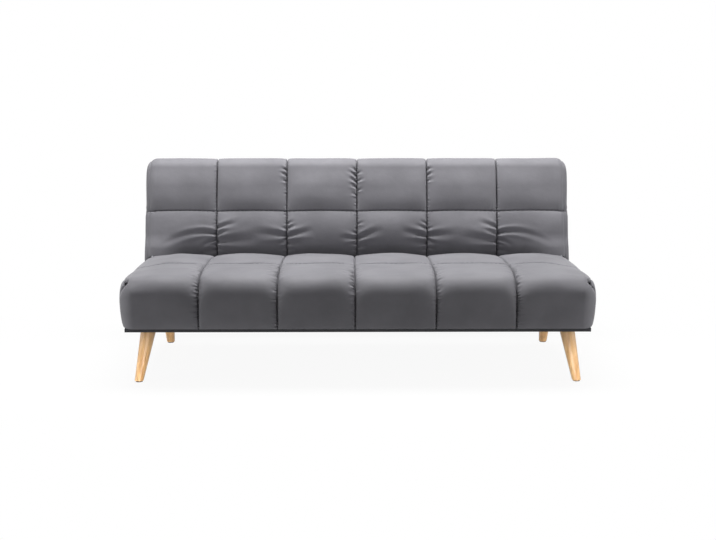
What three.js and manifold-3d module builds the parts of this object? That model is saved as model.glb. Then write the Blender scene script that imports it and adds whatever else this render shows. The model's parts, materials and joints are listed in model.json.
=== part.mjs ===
// A click clack sofa bed: a tufted seat on a timber frame with four tapered legs, and a tufted
// backrest that turns on a ratchet hinge at each end, from sofa to lounge to flat bed.
// Millimetres, +X along the width, +Y to the back, +Z up. While it is built, x = 0 is the
// middle, y = 0 the seat's front face at its seams and z = 0 the floor.
import * as THREE from "three";
import { mergeVertices } from "three/addons/utils/BufferGeometryUtils.js";
import Module from "manifold-3d";

const wasm = await Module();
wasm.setup();

// Fits
const jointGap = 0.3;
const boltClearance = 0.3;
const cutOverrun = 6;
const weldDistance = 0.001;

// Seat cover
const seatHalfWidth = 888;
const seatDepth = 620;
const seatCrown = 18;
const seatRowSeam = 280;
const frontEdgeRadius = 46;
const rearEdgeRadius = 25;
const seatEndRadius = 40;
const foamHeight = 100;
const seatFrontFoam = 27;
const seatEndFoam = 20;
const seatRearFoam = 20;
const columnCount = 6;

// Seat frame
const legHeight = 201;
const boardThickness = 13.7;
const boardWidth = 140;
const boardFrontSetback = 11;
const boardEndSetback = 4;
const boardRearSetback = 9;
const dustCoverThickness = 1;
const railHeight = 84;
const railThickness = 20;
const crossRailHeight = 40;
const crossRailHalfSpread = 290;
const legBlockLength = 90;
const legBlockDepth = 60;
const legBlockHeight = 40;
const springWire = 4;
const springReach = 28;
const springCount = 8;
const springWaves = 6;

// Legs
const legTopRadius = 30;
const legFootRadius = 17;
const glideRadius = 14;
const glideHeight = 4;
const frontLegSplay = 38;
const frontLegRake = 34;
const rearLegSplay = 5;
const rearLegRake = 105;
const legBoltRadius = 4;
const legBoltDepth = 35;
const legNutRadius = 9;
const legNutHeight = 4;

// Backrest, measured up its face and back through it
const backLength = 453;
const backThickness = 140;
const backOverhang = 6;
const backCrown = 18;
const backRowSeam = 222;
const backTopRadius = 45;
const backRearRadius = 25;
const backHeelRadius = 20;
const backEndRadius = 30;
const backFrontFoam = 50;
const backTopFoam = 30;
const backBottomFoam = 62;
const webbingThickness = 2;
const webbingWidth = 60;
const backRailThickness = 22;
const backPanelThickness = 3;
const backPostHalfSpread = 290;
const backLean = THREE.MathUtils.degToRad(17.5);

// Hinge
const pivotDepth = 25;
const pivotRise = 32;
const swingClearance = 4;
const plateThickness = 4;
const pivotBoltRadius = 5;
const pivotHeadRadius = 8;
const pivotHeadHeight = 4;
const pivotNutHeight = 5;
const ratchetRadius = 22;
const ratchetDepth = 6;
const armNeckRadius = 12;
const armFootNear = 34;
const armFootFar = 74;
const armFootLow = 50;
const armFootHigh = 118;
const seatPlateHeadRadius = 20;
const seatPlatePadRadius = 9;
const seatPlateFootLength = 96;
const seatPlateFootSetback = 4;
const seatPlateFootLift = 8;
const seatPlateFootHeight = 48;
const seatPlateNeckWidth = 25;
const plateBoltRadius = 4;
const plateBoltHeadRadius = 7;
const plateBoltHeadHeight = 4;
const plateBoltInset = 22;
const hingeRoom = 4;
const hingePocketDepth = 40;
const hingePocketRise = 14;

// Pawl and its leaf spring
const pawlLength = 42;
const pawlGap = 1.5;
const pawlBodyDepth = 5;
const pawlBossRadius = 6;
const pawlPinRadius = 3;
const pawlHeadRadius = 5.5;
const pawlHeadHeight = 2.5;
const pawlToothGap = 0.5;
const leafThickness = 1;
const leafBlockLength = 10;
const leafBlockHeight = 12;
const leafBlockSetback = 20;
const pawlAngle = THREE.MathUtils.degToRad(250);
const pawlHalfTooth = THREE.MathUtils.degToRad(4);
const pawlHeel = THREE.MathUtils.degToRad(8);
const pawlLift = THREE.MathUtils.degToRad(9);
const releaseFold = THREE.MathUtils.degToRad(12);
const loungeRecline = THREE.MathUtils.degToRad(36);
const pocketLead = THREE.MathUtils.degToRad(2);
const pocketLag = THREE.MathUtils.degToRad(1);

// Shares and counts of the padded forms
const columnStationShares = [0, 0.08, 0.32, 0.68, 0.92];
const capRingShares = [0.75, 0.4];
const endRingAngles = [30, 60, 90].map(THREE.MathUtils.degToRad);
const swellFlatness = 3.5;
const swellPower = 0.65;
const roundSides = 16;
const boltSides = 12;

// Places that follow from the sizes above
const halfWidth = seatHalfWidth + seatCrown;
const columnWidth = (2 * halfWidth) / columnCount;
const frameHalfWidth = seatHalfWidth - seatEndFoam;
const frameFront = seatFrontFoam;
const frameRear = seatDepth - seatRearFoam;
const boardTop = legHeight + boardThickness;
const seatBottom = boardTop + jointGap;
const railTop = seatBottom + railHeight;
const springLevel = railTop + jointGap + springWire / 2;
const foamBottom = springLevel + springWire / 2 + jointGap;
const seatTop = foamBottom + foamHeight;
const blockTop = seatBottom + legBlockHeight;
const legX = frameHalfWidth - railThickness - jointGap - legBlockLength / 2;
const frontLegY = frameFront + railThickness + jointGap + legBlockDepth / 2;
const rearLegY = frameRear - railThickness - jointGap - legBlockDepth / 2;
const swingRadius =
  backHeelRadius + Math.hypot(pivotRise - backHeelRadius, pivotDepth - backHeelRadius);
const pivotY = seatDepth + swingRadius + swingClearance;
const pivotZ = seatTop - pivotDepth;
const seatPlateX = frameHalfWidth + jointGap;
const backPlateX = seatPlateX + plateThickness + jointGap;
const backPlateOuterX = backPlateX + plateThickness;
const backFrameHalfWidth = backPlateX - jointGap;
const backHalfWidth = seatHalfWidth + backOverhang;

// The backrest's own places have their zero at the pivot, with the face at -pivotDepth.
const faceY = -pivotDepth;
const backRearY = backThickness - pivotDepth;
const backBottomZ = -pivotRise;
const backTopZ = backLength - pivotRise;
const webbingY = faceY + backFrontFoam + jointGap;
const backFrameY = webbingY + webbingThickness + jointGap;
const backPanelY = backRearY - backPanelThickness;
const backFrameBottomZ = backBottomZ + backBottomFoam;
const backFrameTopZ = backTopZ - backTopFoam;

// The pawl's pin, seen from the pivot
const pawlPin = new THREE.Vector2(
  ratchetRadius * Math.cos(pawlAngle) + pawlLength * Math.sin(pawlAngle),
  ratchetRadius * Math.sin(pawlAngle) - pawlLength * Math.cos(pawlAngle),
);

// Solids and booleans

function toSolid(geometry) {
  const bare = new THREE.BufferGeometry();
  bare.setAttribute("position", geometry.getAttribute("position"));
  bare.setIndex(geometry.getIndex());
  const welded = mergeVertices(bare, weldDistance);
  const corners = welded.index.array;
  const triVerts = [];
  for (let i = 0; i < corners.length; i += 3) {
    const [a, b, c] = [corners[i], corners[i + 1], corners[i + 2]];
    if (a !== b && b !== c && c !== a) triVerts.push(a, b, c);
  }
  return new wasm.Manifold(
    new wasm.Mesh({
      numProp: 3,
      vertProperties: new Float32Array(welded.attributes.position.array),
      triVerts: new Uint32Array(triVerts),
    }),
  );
}

function toGeometry(solid) {
  const { vertProperties, triVerts } = solid.getMesh();
  const geometry = new THREE.BufferGeometry();
  geometry.setAttribute("position", new THREE.BufferAttribute(vertProperties, 3));
  geometry.setIndex(new THREE.BufferAttribute(triVerts, 1));
  const faceted = geometry.toNonIndexed();
  faceted.computeVertexNormals();
  return faceted;
}

function cut(geometry, ...cutters) {
  const cutAway = (solid, cutter) => solid.subtract(toSolid(cutter));
  return toGeometry(cutters.reduce(cutAway, toSolid(geometry)));
}

function join(first, ...others) {
  const joinOn = (solid, other) => solid.add(toSolid(other));
  return toGeometry(others.reduce(joinOn, toSolid(first)));
}

// Simple shapes in place

function box([x0, x1], [y0, y1], [z0, z1]) {
  const geometry = new THREE.BoxGeometry(x1 - x0, y1 - y0, z1 - z0);
  return geometry.translate((x0 + x1) / 2, (y0 + y1) / 2, (z0 + z1) / 2);
}

// The range from near to far on the right side, or its mirror image on the left one.
function onSide(side, near, far) {
  return side > 0 ? [near, far] : [-far, -near];
}

// A plate whose outline lies in the plane of y and z, between two places along x.
function plate(outline, [x0, x1]) {
  const options = { depth: x1 - x0, bevelEnabled: false };
  const axes = new THREE.Matrix4().makeBasis(
    new THREE.Vector3(0, 1, 0),
    new THREE.Vector3(0, 0, 1),
    new THREE.Vector3(1, 0, 0),
  );
  const geometry = new THREE.ExtrudeGeometry(new THREE.Shape(outline), options);
  return geometry.applyMatrix4(axes).translate(x0, 0, 0);
}

function rod([x0, x1], y, z, radius) {
  const geometry = new THREE.CylinderGeometry(radius, radius, x1 - x0, boltSides);
  return geometry.rotateZ(Math.PI / 2).translate((x0 + x1) / 2, y, z);
}

function upright(x, y, [z0, z1], radius) {
  const geometry = new THREE.CylinderGeometry(radius, radius, z1 - z0, boltSides);
  return geometry.rotateX(Math.PI / 2).translate(x, y, (z0 + z1) / 2);
}

// A turned fastener along x: its steps, from the middle of the sofa outwards, are [radius, end].
function fastener(side, start, steps, y, z) {
  const profile = [new THREE.Vector2(0, start)];
  let from = start;
  for (const [radius, end] of steps) {
    profile.push(new THREE.Vector2(radius, from), new THREE.Vector2(radius, end));
    from = end;
  }
  profile.push(new THREE.Vector2(0, from));
  const geometry = new THREE.LatheGeometry(profile, boltSides);
  return geometry.rotateZ((-side * Math.PI) / 2).translate(0, y, z);
}

function polar(radius, angle, centre = new THREE.Vector2()) {
  return new THREE.Vector2(Math.cos(angle), Math.sin(angle)).multiplyScalar(radius).add(centre);
}

function circle(centre, radius) {
  const turn = (2 * Math.PI) / roundSides;
  return Array.from({ length: roundSides }, (_, i) => polar(radius, i * turn, centre));
}

// The convex outline round a set of points, anticlockwise.
function wrap(points) {
  const sorted = [...points].sort((a, b) => a.x - b.x || a.y - b.y);
  const half = (list) => {
    const chain = [];
    for (const point of list) {
      while (chain.length > 1) {
        const [a, b] = chain.slice(-2);
        const turn = (b.x - a.x) * (point.y - b.y) - (b.y - a.y) * (point.x - b.x);
        if (turn > 0) break;
        chain.pop();
      }
      chain.push(point);
    }
    return chain.slice(0, -1);
  };
  return [...half(sorted), ...half(sorted.reverse())];
}

// Padded forms

// How far a padded panel has swelled at a share of the way from one seam to the next.
function swell(share) {
  return (1 - Math.abs(2 * share - 1) ** swellFlatness) ** swellPower;
}

function columnSwell(x) {
  const along = (x + halfWidth) / columnWidth;
  return swell(THREE.MathUtils.clamp(along - Math.floor(along), 0, 1));
}

// Points round a cover's outline at its seams, each with its normal and its row's swell.
// A run holds curves between two seams and the shares along each at which points are taken.
function coverOutline(runs) {
  const points = [];
  for (const { curves, padded } of runs) {
    const total = curves.reduce((sum, { curve }) => sum + curve.getLength(), 0);
    let before = 0;
    for (const { curve, shares } of curves) {
      for (const share of shares) {
        const at = curve.getPointAt(share);
        const along = curve.getTangentAt(share);
        const rowShare = (before + share * curve.getLength()) / total;
        const rise = padded ? swell(THREE.MathUtils.clamp(rowShare, 0, 1)) : 0;
        points.push({ at, normal: new THREE.Vector2(-along.y, along.x), rise });
      }
      before += curve.getLength();
    }
  }
  return points;
}

// A closed skin over rings of points along x, with a point at each end.
function loft(rings, firstTip, lastTip) {
  const count = rings[0].length;
  const vertices = [...rings.flat(), firstTip, lastTip];
  const first = vertices.length - 2;
  const last = vertices.length - 1;
  const index = [];
  for (let i = 0; i < count; i++) {
    const next = (i + 1) % count;
    const end = (rings.length - 1) * count;
    index.push(first, i, next, last, end + next, end + i);
    for (let ring = 0; ring < end; ring += count) {
      const [a, b, c, d] = [ring + i, ring + next, ring + count + next, ring + count + i];
      index.push(a, d, c, a, c, b);
    }
  }
  return new THREE.BufferGeometry().setFromPoints(vertices).setIndex(index);
}

// A tufted cover with its foam: columns swell between the seams along its length, and each end
// rounds off and bulges outwards like a pillow.
function paddedForm(outlineAt, endX, endRadius, crown) {
  const ringAt = (x, inset) =>
    outlineAt(inset).map(({ at, normal, rise }) => {
      const out = crown * rise * columnSwell(x);
      return new THREE.Vector3(x, at.x + normal.x * out, at.y + normal.y * out);
    });
  const straightEnd = endX - endRadius;
  const stations = [-straightEnd, straightEnd];
  for (let column = 0; column < columnCount; column++) {
    for (const share of columnStationShares) {
      const x = (column + share) * columnWidth - halfWidth;
      if (Math.abs(x) < straightEnd - endRadius / 2) stations.push(x);
    }
  }
  stations.sort((a, b) => a - b);
  const rings = stations.map((x) => ringAt(x, 0));
  const tips = [-1, 1].map((side) => {
    const capRings = endRingAngles.map((angle) =>
      ringAt(side * (straightEnd + endRadius * Math.sin(angle)), endRadius * (1 - Math.cos(angle))),
    );
    const edge = capRings.at(-1);
    const middle = edge.reduce((sum, point) => sum.add(point), new THREE.Vector3());
    middle.divideScalar(edge.length);
    for (const share of capRingShares) {
      const bulge = side * crown * Math.sqrt(1 - share ** 2);
      const inner = edge.map((point) => middle.clone().lerp(point, share).setX(side * endX + bulge));
      capRings.push(inner);
    }
    if (side > 0) rings.push(...capRings);
    else rings.unshift(...capRings.reverse());
    return middle.setX(side * (endX + crown));
  });
  return loft(rings, ...tips);
}

function straight(y0, z0, y1, z1) {
  return new THREE.LineCurve(new THREE.Vector2(y0, z0), new THREE.Vector2(y1, z1));
}

// A quarter of a circle, clockwise from the given angle.
function quarter(y, z, radius, from) {
  return new THREE.EllipseCurve(y, z, radius, radius, from, from - Math.PI / 2, true, 0);
}

// Materials

function cover() {
  return new THREE.MeshStandardMaterial({ color: "#8b8b8f", roughness: 0.55, metalness: 0 });
}

function timber() {
  return new THREE.MeshStandardMaterial({ color: "#c9ab7c", roughness: 0.7, metalness: 0 });
}

function legWood() {
  return new THREE.MeshStandardMaterial({ color: "#be9664", roughness: 0.5, metalness: 0 });
}

function darkBoard() {
  return new THREE.MeshStandardMaterial({ color: "#3c3c3e", roughness: 0.8, metalness: 0 });
}

function blackCloth() {
  return new THREE.MeshStandardMaterial({ color: "#242426", roughness: 0.95, metalness: 0 });
}

function steel() {
  return new THREE.MeshStandardMaterial({ color: "#94979b", roughness: 0.4, metalness: 0.9 });
}

function plastic() {
  return new THREE.MeshStandardMaterial({ color: "#2b2b2c", roughness: 0.7, metalness: 0 });
}

function addPiece(group, name, geometry, material) {
  const piece = new THREE.Mesh(geometry, material);
  piece.name = name;
  group.add(piece);
}

const sideNames = [
  ["left", -1],
  ["right", 1],
];

// Seat cushion

function seatOutline(inset) {
  const top = seatTop - inset;
  const frontCentre = inset + frontEdgeRadius;
  const rearCentre = seatDepth - rearEdgeRadius;
  const frontFace = straight(inset, seatBottom, inset, top - frontEdgeRadius);
  const frontEdge = quarter(frontCentre, top - frontEdgeRadius, frontEdgeRadius, Math.PI);
  const frontTop = straight(frontCentre, top, seatRowSeam, top);
  const rearTop = straight(seatRowSeam, top, rearCentre, top);
  const rearEdge = quarter(rearCentre, top - rearEdgeRadius, rearEdgeRadius, Math.PI / 2);
  const rearFace = straight(seatDepth, top - rearEdgeRadius, seatDepth, seatBottom);
  return coverOutline([
    {
      padded: true,
      curves: [
        { curve: frontFace, shares: [0, 0.3, 1] },
        { curve: frontEdge, shares: [0.25, 0.5, 0.75, 1] },
        { curve: frontTop, shares: [0.3, 0.62, 0.86, 0.96, 1] },
      ],
    },
    {
      padded: true,
      curves: [
        { curve: rearTop, shares: [0.06, 0.25, 0.55, 1] },
        { curve: rearEdge, shares: [0.5, 1] },
      ],
    },
    { padded: false, curves: [{ curve: rearFace, shares: [1] }] },
  ]);
}

function seatCushion() {
  const frameRoom = box(
    [-frameHalfWidth - jointGap, frameHalfWidth + jointGap],
    [frameFront - jointGap, frameRear + jointGap],
    [seatBottom - cutOverrun, foamBottom],
  );
  const padTop = pivotZ + pawlPin.y + seatPlatePadRadius;
  const headTop = pivotZ + seatPlateHeadRadius;
  const padY = pivotY + pawlPin.x;
  const plateTop = THREE.MathUtils.mapLinear(seatDepth, padY, pivotY, padTop, headTop);
  const footFront = frameRear - seatPlateFootSetback - seatPlateFootLength;
  const slots = sideNames.map(([, side]) =>
    box(
      onSide(side, frameHalfWidth, backPlateOuterX + plateBoltHeadHeight),
      [footFront - hingeRoom, seatDepth + cutOverrun],
      [seatBottom - cutOverrun, plateTop + hingeRoom],
    ),
  );
  const form = paddedForm(seatOutline, seatHalfWidth, seatEndRadius, seatCrown);
  return cut(form, frameRoom, ...slots);
}

// Seat frame

function baseBoards(group) {
  const outer = seatHalfWidth - boardEndSetback;
  const front = boardFrontSetback;
  const rear = seatDepth - boardRearSetback;
  const heights = [legHeight, boardTop];
  const holes = (y) =>
    sideNames.map(([, side]) =>
      upright(
        side * legX,
        y,
        [legHeight - cutOverrun, boardTop + cutOverrun],
        legBoltRadius + boltClearance,
      ),
    );
  const frontBoard = box([-outer, outer], [front, front + boardWidth], heights);
  const rearBoard = box([-outer, outer], [rear - boardWidth, rear], heights);
  const between = [front + boardWidth + jointGap, rear - boardWidth - jointGap];
  addPiece(group, "base_front_board", cut(frontBoard, ...holes(frontLegY)), darkBoard());
  addPiece(group, "base_rear_board", cut(rearBoard, ...holes(rearLegY)), darkBoard());
  for (const [name, side] of sideNames) {
    const board = box(onSide(side, outer - boardWidth, outer), between, heights);
    addPiece(group, `base_${name}_board`, board, darkBoard());
  }
  const clothEdge = outer - boardWidth - jointGap;
  const cloth = box([-clothEdge, clothEdge], between, [boardTop - dustCoverThickness, boardTop]);
  addPiece(group, "dust_cover", cloth, blackCloth());
}

function seatPlateBoltPlaces() {
  const rear = frameRear - seatPlateFootSetback;
  const height = seatBottom + seatPlateFootLift + seatPlateFootHeight / 2;
  return [
    [rear - seatPlateFootLength + plateBoltInset, height],
    [rear - plateBoltInset, height],
  ];
}

function seatRails(group) {
  const heights = [seatBottom, railTop];
  const inner = frameHalfWidth - railThickness;
  const between = [-inner + jointGap, inner - jointGap];
  const frontRail = box(between, [frameFront, frameFront + railThickness], heights);
  const rearRail = box(between, [frameRear - railThickness, frameRear], heights);
  addPiece(group, "seat_front_rail", frontRail, timber());
  addPiece(group, "seat_rear_rail", rearRail, timber());
  for (const [name, side] of sideNames) {
    const rail = box(onSide(side, inner, frameHalfWidth), [frameFront, frameRear], heights);
    const through = onSide(side, inner - cutOverrun, frameHalfWidth + cutOverrun);
    const holes = seatPlateBoltPlaces().map(([y, z]) =>
      rod(through, y, z, plateBoltRadius + boltClearance),
    );
    addPiece(group, `seat_${name}_rail`, cut(rail, ...holes), timber());
    const crossRail = box(
      [
        side * crossRailHalfSpread - railThickness / 2,
        side * crossRailHalfSpread + railThickness / 2,
      ],
      [frameFront + railThickness + jointGap, frameRear - railThickness - jointGap],
      [seatBottom, seatBottom + crossRailHeight],
    );
    addPiece(group, `seat_${name}_cross_rail`, crossRail, timber());
  }
}

// A zig-zag wire seen from above, from the front rail to the rear one.
class ZigZag extends THREE.Curve {
  constructor(x, front, rear) {
    super();
    this.x = x;
    this.front = front;
    this.rear = rear;
  }

  getPoint(share, target = new THREE.Vector3()) {
    const swing = springReach * Math.sin(2 * Math.PI * springWaves * share);
    return target.set(
      this.x + swing,
      THREE.MathUtils.lerp(this.front, this.rear, share),
      springLevel,
    );
  }
}

function seatSprings() {
  const half = springWire / 2;
  const section = new THREE.Shape([
    new THREE.Vector2(-half, -half),
    new THREE.Vector2(half, -half),
    new THREE.Vector2(half, half),
    new THREE.Vector2(-half, half),
  ]);
  const front = frameFront + railThickness / 2;
  const rear = frameRear - railThickness / 2;
  const inner = frameHalfWidth - railThickness;
  const pitch = (2 * inner) / (springCount + 1);
  const springs = Array.from({ length: springCount }, (_, i) => {
    const path = new ZigZag((i + 1) * pitch - inner, front, rear);
    const options = { steps: 4 * springWaves, bevelEnabled: false, extrudePath: path };
    return new THREE.ExtrudeGeometry(section, options);
  });
  const tieEnd = inner - pitch;
  const ties = [1, 2].map((third) => {
    const y = THREE.MathUtils.lerp(front, rear, third / 3);
    const ends = [-tieEnd - springReach, tieEnd + springReach];
    return box(ends, [y - half, y + half], [springLevel - half, springLevel + half]);
  });
  return join(...ties, ...springs);
}

// Legs

function leg(splay, rake) {
  const bottom = glideHeight + jointGap;
  const height = legHeight - jointGap - bottom;
  const cone = new THREE.CylinderGeometry(legTopRadius, legFootRadius, height, roundSides);
  const shear = new THREE.Matrix4();
  shear.elements[8] = -splay / height;
  shear.elements[9] = -rake / height;
  cone.rotateX(Math.PI / 2).translate(0, 0, -height / 2);
  cone.applyMatrix4(shear).translate(0, 0, bottom + height);
  const boltHole = upright(
    0,
    0,
    [legHeight - legBoltDepth - boltClearance, legHeight + cutOverrun],
    legBoltRadius + boltClearance,
  );
  return cut(cone, boltHole);
}

function legBolt() {
  const profile = [
    [0, legHeight - legBoltDepth],
    [legBoltRadius, legHeight - legBoltDepth],
    [legBoltRadius, blockTop + jointGap],
    [legNutRadius, blockTop + jointGap],
    [legNutRadius, blockTop + jointGap + legNutHeight],
    [0, blockTop + jointGap + legNutHeight],
  ].map(([radius, z]) => new THREE.Vector2(radius, z));
  return new THREE.LatheGeometry(profile, boltSides).rotateX(Math.PI / 2);
}

function legs(group) {
  const corners = [
    ["front", frontLegY, frontLegSplay, -frontLegRake],
    ["rear", rearLegY, rearLegSplay, rearLegRake],
  ];
  for (const [end, y, splay, rake] of corners) {
    for (const [name, side] of sideNames) {
      const x = side * legX;
      const block = box(
        [x - legBlockLength / 2, x + legBlockLength / 2],
        [y - legBlockDepth / 2, y + legBlockDepth / 2],
        [seatBottom, blockTop],
      );
      const blockHole = upright(
        x,
        y,
        [seatBottom - cutOverrun, blockTop + cutOverrun],
        legBoltRadius + boltClearance,
      );
      const turned = leg(side * splay, rake).translate(x, y, 0);
      const glide = upright(x + side * splay, y + rake, [0, glideHeight], glideRadius);
      addPiece(group, `${end}_${name}_leg_block`, cut(block, blockHole), timber());
      addPiece(group, `${end}_${name}_leg`, turned, legWood());
      addPiece(group, `${end}_${name}_leg_bolt`, legBolt().translate(x, y, 0), steel());
      addPiece(group, `${end}_${name}_foot_glide`, glide, plastic());
    }
  }
}

// Hinge pieces on the seat

function seatPlate(side) {
  const thickness = onSide(side, seatPlateX, seatPlateX + plateThickness);
  const through = onSide(side, seatPlateX - cutOverrun, backPlateX + cutOverrun);
  const pivot = new THREE.Vector2(pivotY, pivotZ);
  const pad = pawlPin.clone().add(pivot);
  const rear = frameRear - seatPlateFootSetback;
  const footTop = seatBottom + seatPlateFootLift + seatPlateFootHeight;
  const neckTop = pad.y + seatPlatePadRadius;
  const foot = wrap([
    new THREE.Vector2(rear - seatPlateFootLength, seatBottom + seatPlateFootLift),
    new THREE.Vector2(rear, seatBottom + seatPlateFootLift),
    new THREE.Vector2(rear, neckTop),
    new THREE.Vector2(rear - seatPlateNeckWidth, neckTop),
    new THREE.Vector2(rear - seatPlateFootLength, footTop),
  ]);
  const head = wrap([
    ...circle(pivot, seatPlateHeadRadius),
    ...circle(pad, seatPlatePadRadius),
    new THREE.Vector2(rear - seatPlateNeckWidth, pad.y - seatPlatePadRadius),
  ]);
  const boltHoles = seatPlateBoltPlaces().map(([y, z]) =>
    rod(through, y, z, plateBoltRadius + boltClearance),
  );
  return cut(
    join(plate(foot, thickness), plate(head, thickness)),
    rod(through, pivotY, pivotZ, pivotBoltRadius + boltClearance),
    rod(through, pad.x, pad.y, pawlPinRadius + boltClearance),
    ...boltHoles,
  );
}

function pivotBolt(side) {
  const shankStart = seatPlateX - jointGap;
  const nut = backPlateOuterX + jointGap;
  const steps = [
    [pivotHeadRadius, shankStart],
    [pivotBoltRadius, nut],
    [pivotHeadRadius, nut + pivotNutHeight],
  ];
  return fastener(side, shankStart - pivotHeadHeight, steps, pivotY, pivotZ);
}

function pawlPinPiece(side) {
  const head = backPlateOuterX + jointGap;
  const steps = [
    [pawlPinRadius, head],
    [pawlHeadRadius, head + pawlHeadHeight],
  ];
  return fastener(side, seatPlateX + jointGap, steps, pivotY + pawlPin.x, pivotZ + pawlPin.y);
}

function seatPlateBolt(side, [y, z]) {
  const head = backPlateX;
  const steps = [
    [plateBoltRadius, head],
    [plateBoltHeadRadius, head + plateBoltHeadHeight],
  ];
  return fastener(side, frameHalfWidth - railThickness + jointGap, steps, y, z);
}

// Pawl and leaf spring, with the pawl lifted clear of the ratchet

function pawlHeelPoint() {
  const outer = ratchetRadius + pawlGap + pawlBodyDepth;
  return polar(outer, pawlAngle + pawlHalfTooth).sub(pawlPin);
}

function pawl(side) {
  const inner = ratchetRadius + pawlGap;
  const outer = inner + pawlBodyDepth;
  const heelAngles = [pawlAngle - pawlHeel, pawlAngle + pawlHalfTooth];
  const body = wrap([
    ...circle(pawlPin, pawlBossRadius),
    ...heelAngles.map((angle) => polar(inner, angle)),
    ...heelAngles.map((angle) => polar(outer, angle)),
  ]);
  const toothAngles = [pawlAngle - pawlHalfTooth, pawlAngle + pawlHalfTooth];
  const tip = ratchetRadius - ratchetDepth + pawlToothGap;
  const tooth = wrap([
    ...toothAngles.map((angle) => polar(tip, angle)),
    ...toothAngles.map((angle) => polar(outer - pawlGap, angle)),
  ]);
  const thickness = onSide(side, backPlateX, backPlateOuterX);
  const through = onSide(side, backPlateX - cutOverrun, backPlateOuterX + cutOverrun);
  const engaged = cut(
    join(plate(body, thickness), plate(tooth, thickness)),
    rod(through, pawlPin.x, pawlPin.y, pawlPinRadius + boltClearance),
  );
  engaged.translate(0, -pawlPin.x, -pawlPin.y).rotateX(-pawlLift);
  return engaged.translate(0, pivotY + pawlPin.x, pivotZ + pawlPin.y);
}

function pawlSpring(side) {
  const pin = new THREE.Vector2(pivotY, pivotZ).add(pawlPin);
  const heel = pawlHeelPoint().rotateAround(new THREE.Vector2(), -pawlLift).add(pin);
  const contact = heel.y - jointGap;
  const blockEnd = pin.x - leafBlockSetback;
  const thickness = onSide(side, backPlateX, backPlateOuterX);
  const block = wrap([
    new THREE.Vector2(blockEnd - leafBlockLength, contact - leafBlockHeight),
    new THREE.Vector2(blockEnd, contact - leafBlockHeight),
    new THREE.Vector2(blockEnd, contact),
    new THREE.Vector2(blockEnd - leafBlockLength, contact),
  ]);
  const leaf = wrap([
    new THREE.Vector2(blockEnd - leafThickness, contact - leafThickness),
    new THREE.Vector2(heel.x, contact - leafThickness),
    new THREE.Vector2(heel.x, contact),
    new THREE.Vector2(blockEnd - leafThickness, contact),
  ]);
  return join(plate(block, thickness), plate(leaf, thickness));
}

function hingeOnSeat(group) {
  for (const [name, side] of sideNames) {
    addPiece(group, `${name}_seat_plate`, seatPlate(side), steel());
    addPiece(group, `${name}_pivot_bolt`, pivotBolt(side), steel());
    addPiece(group, `${name}_pawl`, pawl(side), steel());
    addPiece(group, `${name}_pawl_pin`, pawlPinPiece(side), steel());
    addPiece(group, `${name}_pawl_spring`, pawlSpring(side), steel());
    seatPlateBoltPlaces().forEach((place, i) => {
      const bolt = seatPlateBolt(side, place);
      addPiece(group, `${name}_seat_plate_bolt_${i + 1}`, bolt, steel());
    });
  }
}

// Backrest, in its own places with the pivot at zero

function backOutline(inset) {
  const front = faceY + inset;
  const top = backTopZ - inset;
  const rear = backRearY - inset / 2;
  const seam = backBottomZ + backRowSeam;
  const heelCentre = backBottomZ + backHeelRadius;
  const bottom = straight(rear, backBottomZ, front + backHeelRadius, backBottomZ);
  const heel = quarter(front + backHeelRadius, heelCentre, backHeelRadius, -Math.PI / 2);
  const lower = straight(front, heelCentre, front, seam);
  const upper = straight(front, seam, front, top - backTopRadius);
  const topEdge = quarter(front + backTopRadius, top - backTopRadius, backTopRadius, Math.PI);
  const topFace = straight(front + backTopRadius, top, rear - backRearRadius, top);
  const rearEdge = quarter(rear - backRearRadius, top - backRearRadius, backRearRadius, Math.PI / 2);
  return coverOutline([
    {
      padded: false,
      curves: [
        { curve: bottom, shares: [0, 1] },
        { curve: heel, shares: [0.5, 1] },
      ],
    },
    { padded: true, curves: [{ curve: lower, shares: [0.08, 0.25, 0.55, 0.85, 0.96, 1] }] },
    {
      padded: true,
      curves: [
        { curve: upper, shares: [0.06, 0.25, 0.6, 1] },
        { curve: topEdge, shares: [1 / 3, 2 / 3, 1] },
        { curve: topFace, shares: [1] },
        { curve: rearEdge, shares: [0.5, 1] },
      ],
    },
  ]);
}

function backCushion() {
  const frameEdge = backFrameHalfWidth + jointGap;
  const frameRoom = box(
    [-frameEdge, frameEdge],
    [webbingY - jointGap, backRearY + cutOverrun],
    [backFrameBottomZ - jointGap, backFrameTopZ + jointGap],
  );
  const reach = backPlateOuterX + plateBoltHeadHeight + hingeRoom;
  const frontReach = faceY - backCrown - cutOverrun;
  const pocketRear = faceY + pivotDepth + hingePocketDepth;
  const pocketOutline = wrap([
    ...circle(new THREE.Vector2(), ratchetRadius + hingeRoom),
    new THREE.Vector2(frontReach, hingePocketRise),
    new THREE.Vector2(frontReach, backBottomZ - cutOverrun),
    new THREE.Vector2(pocketRear, backBottomZ - cutOverrun),
    new THREE.Vector2(pocketRear, 0),
  ]);
  const cutters = sideNames.flatMap(([, side]) => {
    const boltReach = seatPlateX - jointGap - pivotHeadHeight - jointGap;
    const pocket = plate(pocketOutline, onSide(side, boltReach, reach));
    const armRoom = box(
      onSide(side, backFrameHalfWidth, reach),
      [-armNeckRadius - hingeRoom, armFootFar + hingeRoom],
      [0, armFootHigh + hingeRoom],
    );
    return [pocket, armRoom];
  });
  const form = paddedForm(backOutline, backHalfWidth, backEndRadius, backCrown);
  return cut(form, frameRoom, ...cutters);
}

function backPlateBoltPlaces() {
  const y = (armFootNear + armFootFar) / 2;
  return [
    [y, armFootLow + plateBoltInset],
    [y, armFootHigh - plateBoltInset],
  ];
}

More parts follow.
